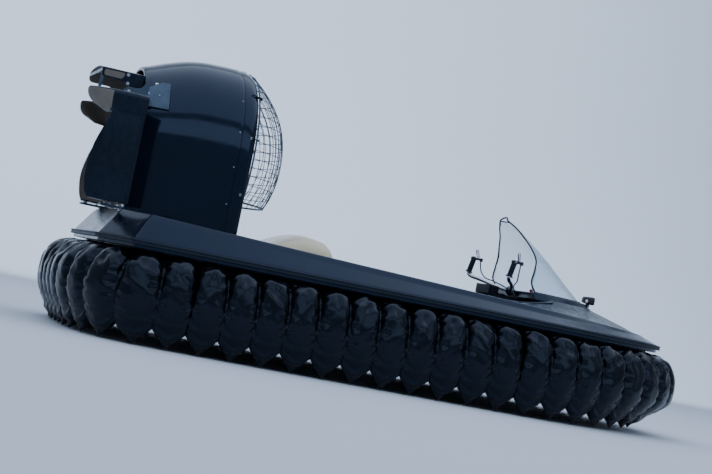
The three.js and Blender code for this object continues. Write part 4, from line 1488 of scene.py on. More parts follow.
@dataclass
class Duct:
    """The fan's duct with its rounded inlet, the seam between them and the wire guard."""

    rear: float = DUCT_REAR
    seam: float = -1.145
    front: float = -1.0603
    axis: float = SHAFT_HEIGHT
    base: float = 0.6455
    columns: int = 128
    guard_rim: float = 0.500
    guard_depth: float = 0.262
    guard_sill: float = 0.872
    guard_x: float = -1.0537
    spacing: float = 0.050
    wire: float = 0.0021
    hoop: float = 0.0052
    bolt_turns: tuple[int, ...] = (-54, -31, -8, 14, 36, 58, 79, 101, 122, 144, 166, 188, 211, 234)
    clip_turns: tuple[int, ...] = (-24, 12, 44, 90, 136, 168, 204)
    shell: Table = field(default_factory=lambda: Table(
        ((-1.7, 0.412), (-1.645, 0.432), (-1.56, 0.466), (-1.42, 0.508), (-1.32, 0.521), (-1.2, 0.524),
         (-1.11, 0.518), (-1.085, 0.5115), (-1.068, 0.502), (-1.0603, 0.4935))))
    bore: Table = field(default_factory=lambda: Table(
        ((-1.72, 0.388), (-1.6, 0.415), (-1.45, 0.446), (-1.33, 0.452), (-1.2, 0.452), (-1.15, 0.455),
         (-1.105, 0.464), (-1.08, 0.4775), (-1.066, 0.4865), (-1.0603, 0.4915))))

    def _ring(self, x: float, radius: float, outer: bool, less: float = 0.0) -> Array:
        """A ring of the arch with its straight sides, or of the round bore.

        Args:
            x: where along the craft.
            radius: its radius.
            outer: whether it is the arch.
            less: how far the arch's flat foot stands above the deck.

        Returns:
            The ring's points.
        """
        turn = np.linspace(0, 2 * math.pi, self.columns, endpoint=False)
        across, up = np.cos(turn), np.sin(turn)
        reach = np.full(self.columns, radius)
        if outer:
            side = radius / np.maximum(np.abs(across), 1e-9)
            down = (self.axis - self.base - less) / np.maximum(np.abs(up), 1e-9)
            reach = np.where(up < 0, np.minimum(side, down), reach)
        return stacked(x, reach * across, self.axis + reach * up)

    def _part(self, name: str, rear: float, front: float, lips: tuple[float, float]) -> Piece:
        """A length of the duct with rounded ends.

        Args:
            name: its name.
            rear: its rear end.
            front: its front end.
            lips: the rounding of each end.

        Returns:
            The new piece.
        """
        stations = np.linspace(rear + lips[0], front - lips[1], max(8, int((front - rear) / 0.02)))

        def lip(x: float, size: float, sign: int, outer: bool) -> list[Array]:
            """The rounded edge at one end.

            Args:
                x: where the straight part ends.
                size: the rounding's radius.
                sign: 1 at the front end, -1 at the rear one.
                outer: whether it is the outside's edge.

            Returns:
                Its rings, from the straight part on.
            """
            radius, inwards = (self.shell if outer else self.bore).at(x)[0], -1 if outer else 1
            sunk = [(size * (1 - math.sin(t)), size * (1 - math.cos(t))) for t in np.radians([30, 60, 90])]
            return [self._ring(x - sign * back, radius + inwards * less, outer, less) for back, less in sunk]

        rows = [self._ring(x, self.shell.at(x)[0], True) for x in stations]
        rows += lip(front, lips[1], 1, True) + lip(front, lips[1], 1, False)[::-1]
        rows += [self._ring(x, self.bore.at(x)[0], False) for x in stations[::-1]]
        rows += lip(rear, lips[0], -1, False) + lip(rear, lips[0], -1, True)[::-1]
        rows.append(rows[0])
        return loft(name, rows, DUCT_GELCOAT, capped=False, crease=40)

    def around(self, x: float, degrees: float, proud: float = 0.0) -> tuple[Array, Array]:
        """A place on the shell's outside.

        Args:
            x: where along the craft.
            degrees: the turn from port over the top; below 0 and above 180 it goes down a side.
            proud: how far off the shell.

        Returns:
            The point, and the direction out of the shell.
        """
        turn = math.radians(min(max(degrees, 0), 180))
        radius = self.shell.at(x)[0] + proud
        drop = math.radians(max(-degrees, degrees - 180, 0)) * radius
        out = np.array([0, math.cos(turn), math.sin(turn)])
        return np.array([x, 0, self.axis - drop]) + radius * out, out

    def build(self) -> None:
        """Builds the duct, the inlet ring, the bolts of the seam and the guard."""
        main = self._part("duct_barrel", self.rear, self.seam - 0.0008, (0.006, 0.002))
        bolts = [self.around(self.seam - 0.016, a) for a in self.bolt_turns]
        seam = fasteners("seam_bolts", bolts, 0.0036, ZINC, sides=14, washer=1.2)
        settle(joined("duct_shell", [main, seam]), "duct_gelcoat", "fan_duct")
        ring = self._part("inlet_lip", self.seam + 0.0002, self.front, (0.002, 0.0008))
        clips = [self._clip(a) for a in self.clip_turns]
        spots = [self.around(-1.092, a, 0.002) for a in self.clip_turns]
        screws = fasteners("clip_screws", spots, 0.0045, ZINC, sides=14)
        settle(joined("inlet_bell", [ring, *clips, screws]), "duct_gelcoat", "inlet_ring")
        self._guard()

    def _clip(self, degrees: float) -> Piece:
        """A bent strip that holds the guard's hoop to the inlet.

        Args:
            degrees: the turn from port over the top.

        Returns:
            The strip.
        """
        route = ((-1.104, 0.5195), (-1.084, 0.5145), (-1.068, 0.5075), (-1.058, 0.5085), (-1.0475, 0.505),
                 (-1.0455, 0.497), (-1.050, 0.4925))
        section = np.array(rectangle(-0.008, -0.0008, 0.008, 0.0008))
        points, faces = swept(resampled([(x, 0, r) for x, r in route], 22), section, up=(0, 1, 0.001))
        drop = math.radians(max(-degrees, degrees - 180, 0)) * 0.515
        turn = math.radians(min(max(degrees, 0), 180)) - math.pi / 2
        spun = points @ np.array(Matrix.Rotation(turn, 3, "X")).T
        return piece_from("hoop_clip", spun + (0, 0, self.axis - drop), faces, DARK_STEEL)

    def _guard(self) -> None:
        """Square welded mesh that bulges ahead of the inlet, on a hoop with a flat lower edge."""
        def front(y: Array | float, z: Array | float) -> Array | float:
            """How far ahead the mesh stands."""
            share = np.hypot(y, z - self.axis) / self.guard_rim
            return self.guard_x + self.guard_depth * (1 - share ** 2.6)

        routes = []
        for k in range(-9, 10):
            offset = k * self.spacing
            reach = math.sqrt(self.guard_rim ** 2 - offset ** 2)
            z = np.linspace(max(self.guard_sill, self.axis - reach), self.axis + reach, 17)
            routes.append(stacked(front(offset, z) + self.wire, offset, z))
            if self.axis + offset > self.guard_sill + 0.01:
                y = np.linspace(-reach, reach, 17)
                routes.append(stacked(front(y, self.axis + offset) - self.wire, y, self.axis + offset))
        below = math.asin((self.axis - self.guard_sill) / self.guard_rim)
        turn = np.linspace(-below, math.pi + below, 73)
        hoop = stacked(self.guard_x, self.guard_rim * np.cos(turn), self.axis + self.guard_rim * np.sin(turn))
        y = np.linspace(-1, 1, 31) * self.guard_rim * math.cos(below)
        sill = stacked(front(y, self.guard_sill), y, self.guard_sill)
        steel = DARK_STEEL.material()
        guard = joined("inlet_guard", [
            grown("guard_mesh", wire_tree(), *lines_of(routes),
                  {"Wire Radius": self.wire, "Sides": 6, "Finish": steel}),
            grown("guard_hoop", wire_tree(), *lines_of([hoop, sill]),
                  {"Wire Radius": self.hoop, "Sides": 10, "Finish": steel})])
        guard.data.shade_smooth()
        guard.data.set_sharp_from_angle(angle=math.radians(50))
        settle(guard, "steel", "fan_guard")


@dataclass
class FanGroup:
    """The fan and its shaft, and the carrier, splitter and belt cover round them."""

    middle: float = -1.255
    axis: float = SHAFT_HEIGHT
    tip: float = 0.442
    blades: int = 6
    blade: Table = field(default_factory=lambda: Table(
        ((0.07, 0.120, 52, 0.020), (0.25, 0.130, 34, 0.014), (0.43, 0.096, 24.5, 0.008),
         (0.442, 0.074, 24, 0.006))))

    def _blade(self, turn: float) -> Piece:
        """One twisted blade with a rounded tip.

        Args:
            turn: its turn about the shaft.

        Returns:
            The blade.
        """
        rings = []
        for radius in np.append(np.linspace(0.07, 0.43, 14), (0.437, self.tip)):
            chord, pitch, thick = self.blade.at(radius)[0]
            a = math.radians(pitch)
            shape = foil(chord, thick, camber=0.035)
            x = self.middle + shape[:, 0] * math.sin(a) + shape[:, 1] * math.cos(a)
            ring = stacked(x, shape[:, 0] * math.cos(a) - shape[:, 1] * math.sin(a), radius)
            rings.append(ring @ np.array(Matrix.Rotation(turn, 3, "X")).T + (0, 0, self.axis))
        return loft("fan_blade", rings, BLACK_PLASTIC, crease=50)

    def _bolts(self, x: float, radius: float, turns: Sequence[float], lean: float = 0.0) -> list[tuple]:
        """A ring of places about the shaft.

        Args:
            x: where along the craft.
            radius: the ring's radius.
            turns: the places' turns from port.
            lean: how far the heads look outwards.

        Returns:
            A point and a direction for each.
        """
        around = [(math.cos(t), math.sin(t)) for t in turns]
        return [((x, radius * y, self.axis + radius * z), (1, lean * y, lean * z)) for y, z in around]

    def build(self) -> None:
        """Builds the turning and the fixed pieces."""
        forward = (1, 0, 0)
        blades = [self._blade(2 * math.pi * k / self.blades) for k in range(self.blades)]
        profile = [(0, 0.020), (0, 0.076), (0.003, 0.083), (0.006, 0.085), (0.080, 0.085), (0.084, 0.0835),
                   (0.100, 0.066), (0.110, 0.052), (0.113, 0.046), (0.114, 0.042), (0.114, 0.020)]
        hub = revolved("fan_hub", profile, (-1.297, 0, self.axis), forward, BLACK_PLASTIC, 48)
        journal = revolved("fan_journal", [(0, 0.0175), (0.0623, 0.0175)], (-1.3597, 0, self.axis), forward,
                           ZINC, 28)
        turns = [2 * math.pi * (k + 0.5) / 6 for k in range(6)]
        bolts = fasteners("hub_bolts", self._bolts(-1.197, 0.067, turns, 0.69 / 0.72), 0.007, ZINC)
        settle(joined("fan_rotor", [*blades, hub, journal, bolts]), "black_plastic", "fan", body=Body.FAN)
        collar = [(0, 0.0175), (0.0, 0.030), (0.002, 0.032), (0.012, 0.032), (0.014, 0.030), (0.014, 0.0175),
                  (0.1304, 0.0175)]
        shaft = revolved("drive_shaft", collar, (-1.1827, 0, self.axis), forward, ZINC, 32)
        settle(shaft, "steel", "fan_shaft", body=Body.FAN)
        bearing = fasteners("carrier_bolts", self._bolts(-1.360, 0.058, turns), 0.0045, ZINC)
        settle(joined("stator_carrier", [refined("fan_carrier", BLACK_PLASTIC, 0.003), bearing]),
               "black_plastic", "fan_carrier")
        settle(refined("lift_splitter", DUCT_GELCOAT, 0.003), "duct_gelcoat", "lift_splitter")
        spots = self._bolts(-0.988, 0.098, [math.radians(-35 + 250 * k / 8) for k in range(9)])
        spots += [((-0.988, side * y, z), forward) for side in (-1, 1)
                  for y, z in ((0.052, 0.70), (0.060, 0.82), (0.070, 0.94))]
        screws = fasteners("cover_screws", spots, 0.005, ZINC, sides=14)
        cover = joined("drive_belt_cover", [refined("belt_cover", BLACK_PLASTIC, 0.007, 4), screws])
        settle(cover, "black_plastic", "belt_cover")
        self._rudder("port", 0.13, Body.PORT_RUDDER)
        self._rudder("starboard", -0.13, Body.STARBOARD_RUDDER)

    def _rudder(self, side: str, y: float, body: Body) -> None:
        """A rudder of symmetric section on its post.

        Args:
            side: its side.
            y: where its post stands.
            body: what it moves with.
        """
        shape = foil(0.190, 0.0135, 16) * (-1, 1)
        blade = extruded("rudder_blade", shape + (-1.640, y), 2, 0.886, 1.430, COMPOSITE, 0.0012)
        post = revolved("rudder_post", [(0, 0.008), (0.6197, 0.008)], (-1.58, y, 0.8703), (0, 0, 1), ZINC, 20)
        strap = rounded([(-1.66, y - 0.0079), (-1.60, y - 0.0082), (-1.60, y + 0.0082), (-1.66, y + 0.0079)],
                        0.002, 3)
        straps = [extruded("rudder_strap", strap, 2, z, z + 0.024, ZINC, 0.001) for z in (0.93, 1.145, 1.36)]
        rudder = joined(f"rudder_{side}_foil", [blade, post, *straps])
        settle(rudder, "duct_gelcoat", f"rudder_{side}", body=body)


@dataclass
class BucketGroup:
    """The reversing buckets with their brackets, and the arched vane over the outlet."""

    pivot: tuple[float, float] = (-1.800, -0.370)
    bottom: float = 0.722
    panel: float = 0.238
    cap: float = 0.256
    brow: float = 1.304
    lobe: float = 0.034
    pin: float = 0.011
    stowed: float = 37.5
    front: float = 292
    crease: tuple[float, float, float] = (250, 5, 0.006)
    swell: float = 0.009
    edge: Table = field(default_factory=lambda: Table(
        ((0.722, 235), (0.755, 229.5), (0.875, 225), (1.0, 230), (1.1, 238), (1.19, 246), (1.23, 249))))

    def _at(self, degrees: float, radius: float, z: float) -> tuple[float, float, float]:
        """A point round the pivot."""
        a = math.radians(degrees)
        return self.pivot[0] + radius * math.cos(a), self.pivot[1] + radius * math.sin(a), z

    def _panel(self) -> Piece:
        """The curved side, bulged at mid height, with a soft crease and a curved free edge.

        Returns:
            The side.
        """
        rows = []
        fold, width, depth = self.crease
        for z in np.linspace(self.bottom + 0.002, 1.316, 34):
            start = self.edge.at(z)[0] if z < 1.2 else 246.0
            lift = math.sin(math.pi * min(max((z - self.bottom) / (1.24 - self.bottom), 0), 1))
            row = []
            for a in np.linspace(start, self.front, 26):
                crease = depth * math.exp(-((a - fold) / width) ** 2)
                swell = self.swell * math.sin(math.pi * (self.front - a) / 67) ** 0.5
                row.append(self._at(a, self.panel - 0.001 + lift * (swell - crease), z))
            rows.append(row)
        return self._laminate("bucket_side", np.array(rows), 0.006)

    def _laminate(self, name: str, rows: Array, thickness: float) -> Piece:
        """A laminate of a grid, its inner side bare.

        Args:
            name: its name.
            rows: its points, row by row.
            thickness: its thickness.

        Returns:
            The laminate.
        """
        piece = piece_from(name, rows.reshape(-1, 3), grid(*rows.shape[:2]), COMPOSITE, 50, outward=False)
        facing_from(piece, (self.pivot[0] + FORWARD, self.pivot[1], 1.0))
        return bevelled(walled(piece, thickness, RAW_LAMINATE), 0.0015, 2, 50)

    def _hood(self) -> Piece:
        """The scoop on top: a rounded bowl that narrows to the side's free edge, and the lid to the pivot.

        Returns:
            The scoop.
        """
        rows = []
        for a in np.linspace(205, self.front, 34):
            share = min(max((a - 226) / 26, 0), 1)
            low = 0.150 + (self.panel + 0.002 - 0.150) * share * share * (3 - 2 * share)
            foot = 1.200 + 0.028 * min(max((226 - a) / 21, 0), 1)
            cap = float(np.interp(a, (235, 256), (self.cap, self.panel + 0.004)))
            row = []
            for t in np.linspace(0, math.pi / 2, 18):
                out, up = math.sin(t) ** 0.85, (1 - math.cos(t)) ** 0.9
                row.append(self._at(a, low + (cap - low) * out, foot + (self.brow - foot) * up))
            for t in np.linspace(0.15, 1, 6) * math.pi / 2:
                row.append(self._at(a, cap - 0.02 * (1 - math.cos(t)), self.brow + 0.0205 * math.sin(t)))
            row += [self._at(a, radius, 1.3248) for radius in (0.19, 0.12, 0.05, 0.0338)]
            rows.append(row)
        hood = self._laminate("bucket_hood", np.array(rows), 0.005)
        edge = self.pivot[0] - 0.106 + FORWARD
        for polygon in hood.data.polygons:
            if polygon.center.x < edge and polygon.center.z < 1.312:
                polygon.material_index = 1
        return hood

    def build(self) -> None:
        """Builds both buckets, the brackets and the vane."""
        lobe = [self._at(a, self.lobe, 0)[:2] for a in np.linspace(0, 360, 36, endpoint=False)]
        arc = [self._at(a, self.panel - 0.004, 0)[:2] for a in np.linspace(234, 291, 14)]
        near = [self._at(a, self.lobe, 0)[:2] for a in np.linspace(310, 560, 18)]
        pins = [revolved(name, [(0, self.pin), (length, self.pin)], (*self.pivot, z), (0, 0, 1), ZINC, 24)
                for name, length, z in (("upper_pin", 0.0117, 1.321), ("lower_pin", 0.0137, 0.7123))]
        parts = [
            self._panel(), self._hood(),
            extruded("lid_boss", lobe, 2, 1.3165, 1.3249, COMPOSITE, 0.002),
            extruded("bucket_floor", [*arc, *near], 2, self.bottom, self.bottom + 0.008, COMPOSITE, 0.002),
            *pins,
        ]
        places = ((287, 0.76, 0.002), (287, 0.90, 0.003), (287, 1.05, 0.003), (287, 1.19, 0.002),
                  (266, 0.745, 0.003), (246, 0.745, 0.003))
        rivets = [(self._at(a, self.panel + 0.0005 + proud, z),
                   (*np.subtract(self._at(a, 1, 0)[:2], self.pivot), 0)) for a, z, proud in places]
        parts.append(fasteners("bucket_rivets", rivets, 0.0045, COMPOSITE, sides=14, height=0.5, washer=1.2))
        starboard = joined("bucket_starboard_scoop", parts)
        port = mirrored(starboard, "bucket_port_scoop")
        about = Vector((self.pivot[0] + FORWARD, -self.pivot[1], 0))
        port.data.transform(Matrix.Translation(about) @ Matrix.Rotation(math.radians(-self.stowed), 4, "Z")
                            @ Matrix.Translation(-about))
        settle(starboard, "bucket_plastic", "bucket_starboard", body=Body.STARBOARD_BUCKET)
        settle(port, "bucket_plastic", "bucket_port", body=Body.PORT_BUCKET)
        self._shoulder()
        self._foot()
        self._vane()

    def _pair(self, name: str, node: str, parts: Sequence[Piece]) -> None:
        """Joins and settles a starboard piece and its mirror image.

        Args:
            name: the pieces' name without the side.
            node: the CAD nodes' name without the side.
            parts: the starboard parts.
        """
        piece = joined(f"{name}_starboard", parts)
        settle(mirrored(piece, f"{name}_port"), "steel", f"{node}_port")
        settle(piece, "steel", f"{node}_starboard")

    def _shoulder(self) -> None:
        """The bolted pad on the duct's shoulder, its arm, and the curved web between them."""
        curve = resampled([(-1.826, 1.340), (-1.825, 1.356), (-1.814, 1.365), (-1.796, 1.365),
                           (-1.765, 1.366), (-1.735, 1.376), (-1.715, 1.400), (-1.706, 1.425),
                           (-1.7035, 1.442)], 36)
        web = np.concatenate([curve, [(-1.7005, 1.442), (-1.7005, 1.3335), (-1.826, 1.3335)]])
        plates = [extruded("bracket_web", web, 1, y, y + 0.004, DARK_STEEL, 0.0012)
                  for y in (-0.4515, -0.352)]
        pad = Duct()
        spots = [((*self.pivot, 1.3455), (0, 0, 1)), ((-1.808, -0.4518, 1.3405), (0, -1, 0))]
        for x, z in ((-1.680, 1.362), (-1.622, 1.362), (-1.640, 1.428)):
            radius = pad.shell.at(x)[0] + 0.0075
            y = -math.sqrt(radius ** 2 - (z - pad.axis) ** 2)
            spots.append(((x, y, z), (0, y / radius, (z - pad.axis) / radius)))
        self._pair("shoulder_arm", "shoulder_bracket",
                   [refined("shoulder_bracket_starboard", DARK_STEEL, 0.0022), *plates,
                    fasteners("bracket_bolts", spots, 0.0058, CHROME)])

    def _foot(self) -> None:
        """The lower hinge bracket."""
        spots = [((-1.735, y, 0.7122), (0, 0, 1)) for y in (-0.392, -0.348)]
        spots += [((-1.7145, y, 0.690), (-1, 0, 0)) for y in (-0.392, -0.348)]
        self._pair("hinge_foot", "lower_bracket", [refined("lower_bracket_starboard", DARK_STEEL, 0.002),
                                                   fasteners("hinge_bolts", spots, 0.006, CHROME)])

    def _vane(self) -> None:
        """The arched vane with deep cheeks, open at the back, and the stop rod of the near bucket."""
        y = np.linspace(-0.24, 0.24, 33)
        crown = 1.465 + 0.020 * (1 - np.abs(y / 0.24) ** 2.2)
        arch = np.concatenate([stacked(y, crown), stacked(y, crown - 0.006)[::-1]])
        skin = extruded("vane_skin", arch, 0, -1.945, -1.7003, COMPOSITE, 0.0018)
        outline = rounded([(-1.945, 1.4655), (-1.945, 1.410), (-1.815, 1.408), (-1.785, 1.380),
                           (-1.7003, 1.378), (-1.7003, 1.4655)], (0.022, 0.024, 0.03, 0.02, 0.004, 0.004), 6)
        cheeks = [extruded("vane_cheek", outline, 1, low, low + 0.006, COMPOSITE, 0.0016)
                  for low in (-0.24, 0.234)]
        panel = rounded([(-1.930, 1.456), (-1.930, 1.421), (-1.828, 1.419), (-1.806, 1.456)], 0.012, 5)
        cheeks += [extruded("vane_panel", panel, 1, low, low + 0.0016, RAW_LAMINATE, 0.0004)
                   for low in (-0.2408, 0.2392)]
        lip = extruded("vane_lip", rounded(rectangle(-0.236, 1.441, 0.236, 1.4595), 0.01), 0, -1.945, -1.939,
                       COMPOSITE, 0.0015)
        rod = resampled([(-1.932, -0.237, 1.455), (-1.936, -0.237, 1.42), (-1.940, -0.237, 1.372),
                         (-1.942, -0.237, 1.338)], 16)
        section = np.array(rectangle(-0.009, -0.0028, 0.009, 0.0028))
        stop = bevelled(piece_from("stop_rod", *swept(rod, section, up=(0, 1, 0)), DARK_STEEL), 0.001, 2)
        spots = [((x, side * 0.2401, z), (0, side, 0)) for side in (-1, 1)
                 for x, z in ((-1.795, 1.450), (-1.790, 1.402))]
        bolts = fasteners("vane_bolts", spots, 0.0055, CHROME)
        vane = joined("outlet_vane_hood", [skin, *cheeks, lip, stop, bolts])
        vane.data.materials.append(RAW_LAMINATE.material())
        for polygon in vane.data.polygons:
            inside = polygon.center.y * polygon.normal.y < -0.1 and abs(polygon.center.y) < 0.2365
            under = polygon.normal.z < -0.8 and polygon.center.z > 1.45
            middle = -1.93 < polygon.center.x - FORWARD < -1.80
            if (inside or under) and middle and polygon.material_index == 0:
                polygon.material_index = len(vane.data.materials) - 1
        settle(vane, "bucket_plastic", "outlet_vane")


@dataclass
class Cockpit:
    """The engine's dome, the cockpit's tub with its mats, and the seat."""

    deck: DeckMoulding = field(default_factory=DeckMoulding)
    dome: Table = field(default_factory=lambda: Table(
        ((-0.985, -0.012, 0.222), (-0.97, 0.014, 0.240), (-0.86, 0.032, 0.285), (-0.77, 0.050, 0.305),
         (-0.681, 0.092, 0.315), (-0.58, 0.122, 0.318), (-0.47, 0.110, 0.310), (-0.43, 0.085, 0.300),
         (-0.408, 0.040, 0.285), (-0.399, -0.012, 0.268))))
    seat: tuple[float, ...] = (-0.365, 0.335, 0.195)
    seat_levels: tuple[float, float] = (0.4303, 0.520)
    channels: tuple[float, ...] = (-0.19, -0.02, 0.15)
    channel_depth: float = 0.007
    channel_width: float = 0.008
    voxel: float = 0.008
    swelling: float = 0.007

    def build(self) -> None:
        """Builds every piece."""
        self._dome()
        self._tub()
        self._seat()
        spots = [((x, side * 0.1802, 0.33), (0, side, 0)) for side in (-1, 1) for x in (-0.30, -0.12, 0.06)]
        screws = fasteners("plinth_screws", spots, 0.005, ZINC, sides=14)
        plinth = joined("seat_plinth", [refined("seat_base", DECK_GELCOAT, 0.004), screws])
        settle(plinth, "gelcoat", "seat_base")
        settle(refined("engine", CAST, 0.008), "steel", "engine")
        settle(refined("hull", HULL_GELCOAT, 0.004, 2), "gelcoat", "hull")
        for skid in ("skid_port", "skid_starboard"):
            settle(refined(skid, RUBBER, 0.005), "rail_rubber", skid)

    def _dome(self) -> None:
        """The cream moulding over the engine, with a flange screwed to the deck."""
        stations = np.concatenate([[-0.985, -0.981, -0.976], np.linspace(-0.968, -0.414, 44),
                                   [-0.407, -0.403, -0.399]])
        t = np.linspace(0, math.pi, 49)
        rings = []
        for x in stations:
            rise, half = self.dome.at(x)[0]
            y = np.sign(np.cos(t)) * np.abs(np.cos(t)) ** 0.6 * half
            rings.append(stacked(x, y, 0.6065 + (0.0435 + rise) * np.sin(t) ** 0.6))
        spots = [((x, side * (self.dome.at(x)[0][1] - 0.0005), 0.661), (0, side, 0.12))
                 for x in (-0.90, -0.75, -0.60, -0.47) for side in (-1, 1)]
        dome = joined("engine_dome", [loft("dome_skin", rings, CREAM, crease=60),
                                      fasteners("dome_screws", spots, 0.0048, ZINC, sides=14)])
        settle(dome, "cream_plastic", "engine_cover")

    def _tub(self) -> None:
        """The cockpit's tub with a rolled coaming, and foam mats with raised dots."""
        rear, front, half = self.deck.cockpit
        lifts = ((-0.013, 0.0012), (-0.0125, 0.0025), (-0.009, 0.0042), (-0.003, 0.0050), (0.004, 0.0040),
                 (0.008, 0.001))
        levels = ((0.0093, 0.590), (0.010, 0.45), (0.010, 0.345), (0.0125, 0.325), (0.021, 0.3085),
                  (0.036, 0.3015), (0.060, 0.3003), (0.15, 0.3003))
        rings = []
        side = RIM.half_ring(0.0)[::-1]
        for number, (less, z) in enumerate(lifts + levels):
            corners = rounded(rectangle(rear + less, less - half, front - less, half - less), 0.075, 8)
            outline = np.concatenate([
                np.linspace(a, b, 18, endpoint=False) if np.linalg.norm(b - a) > 0.2 else [a]
                for a, b in zip(corners, np.roll(corners, -1, axis=0))])
            if number < len(lifts):
                inset = np.interp(outline[:, 0], side[:, 0], side[:, 1]) - np.abs(outline[:, 1])
                z += np.array([self.deck.top_at(x, i) for x, i in zip(outline[:, 0], inset)])
            rings.append(stacked(*outline.T, z))
        count = len(rings[0])
        faces = grid(len(rings), count, around=True)
        faces.append(tuple(range((len(rings) - 1) * count, len(rings) * count)))
        tub = piece_from("tub_skin", np.concatenate(rings), faces, DECK_GELCOAT, crease=50, outward=False)
        facing_from(tub, (0, 0, -100))
        walled(tub, 0.003)
        tub.data.set_sharp_from_angle(angle=math.radians(50))
        mats = []
        for low, high, left, right in ((0.36, 0.67, -0.40, 0.40), (-0.36, 0.33, 0.205, 0.40),
                                       (-0.36, 0.33, -0.40, -0.205)):
            outline = rounded(rectangle(low, left, high, right), 0.03, 5)
            mats.append(extruded("floor_mat", outline, 2, 0.3004, 0.3052, FOAM_MAT, 0.0015))
            dots = [((x, y, 0.3052), (0, 0, 1)) for x in np.arange(low + 0.02, high - 0.015, 0.022)
                    for y in np.arange(left + 0.02, right - 0.015, 0.022)]
            mats.append(fasteners("mat_dots", dots, 0.006, FOAM_MAT, sides=10, height=0.4, washer=0.5))
        settle(joined("cockpit_tub", [tub, *mats]), "gelcoat", "cockpit_liner")

    def _plan(self, less: float) -> Array:
        """The cushion's outline, narrower in front.

        Args:
            less: how far inwards.

        Returns:
            The outline's points.
        """
        rear, front, half = self.seat
        nose = half - 0.085
        corners = [(rear + less, less - half), (front - 0.16, less - half), (front - less, less - nose),
                   (front - less, nose - less), (front - 0.16, half - less), (rear + less, half - less)]
        return rounded(corners, (0.045, 0.11, 0.05, 0.05, 0.11, 0.045), 6)

    def _seat(self) -> None:
        """The padded seat: blown up as cloth, then its sewn channels, its piping and its stitches."""
        bottom, top = self.seat_levels
        levels = ((0.012, bottom + 0.0005), (0.005, bottom + 0.006), (0.004, bottom + 0.045),
                  (0.008, top - 0.022), (0.024, top - 0.010), (0.07, top - 0.0045), (0.13, top - 0.003))
        rings = [stacked(*self._plan(less).T, z) for less, z in levels]
        cushion = loft("seat_pad", rings, VINYL, crease=180)
        remesh = cushion.modifiers.new("voxels", "REMESH")
        remesh.mode = "VOXEL"
        remesh.voxel_size = self.voxel
        remesh.use_smooth_shade = True
        applied(cushion)
        points = coordinates(cushion.data)
        cloth = cushion.modifiers.new("cloth", "CLOTH")
        cloth.settings.use_pressure = True
        cloth.settings.uniform_pressure_force = 4.0
        cloth.settings.effector_weights.gravity = 0.0
        points += blown(cushion, 20, self.swelling)
        cushion.modifiers.clear()
        high = points[:, 2] > top - 0.03
        for x in self.channels:
            groove = self.channel_depth * np.exp(-((points[:, 0] - FORWARD - x) / self.channel_width) ** 2)
            edge = np.clip((self.seat[2] - 0.03 - np.abs(points[:, 1])) / 0.03, 0, 1)
            points[:, 2] -= np.where(high, groove * edge, 0)
        points[:, 2] = np.clip(points[:, 2], bottom, top + 0.010)
        cushion.data.vertices.foreach_set("co", points.ravel())
        smooth = cushion.modifiers.new("smooth", "SUBSURF")
        smooth.levels = smooth.render_levels = 1
        applied(cushion).data.shade_smooth()
        settle(cushion, "seat_vinyl", "seat_cushion")
        loop = stacked(*self._plan(0.0065).T, top - 0.0165)
        welt = swept(loop, circle(0.0034, 10), closed=True, up=(0, 0, 1))
        settle(piece_from("seat_piping", *welt, VINYL), "seat_vinyl")
        rows = [stacked(x + side, np.linspace(-0.150, 0.150, 20), top - 0.0012)
                for x in self.channels for side in (-0.0115, 0.0115)]
        sizes = {"Spacing": 0.006, "Stitch Length": 0.0042, "Thread Radius": 0.0006,
                 "Finish": FOAM_MAT.material()}
        settle(grown("seat_stitches", stitch_tree(), *lines_of(rows), sizes), "seat_vinyl")


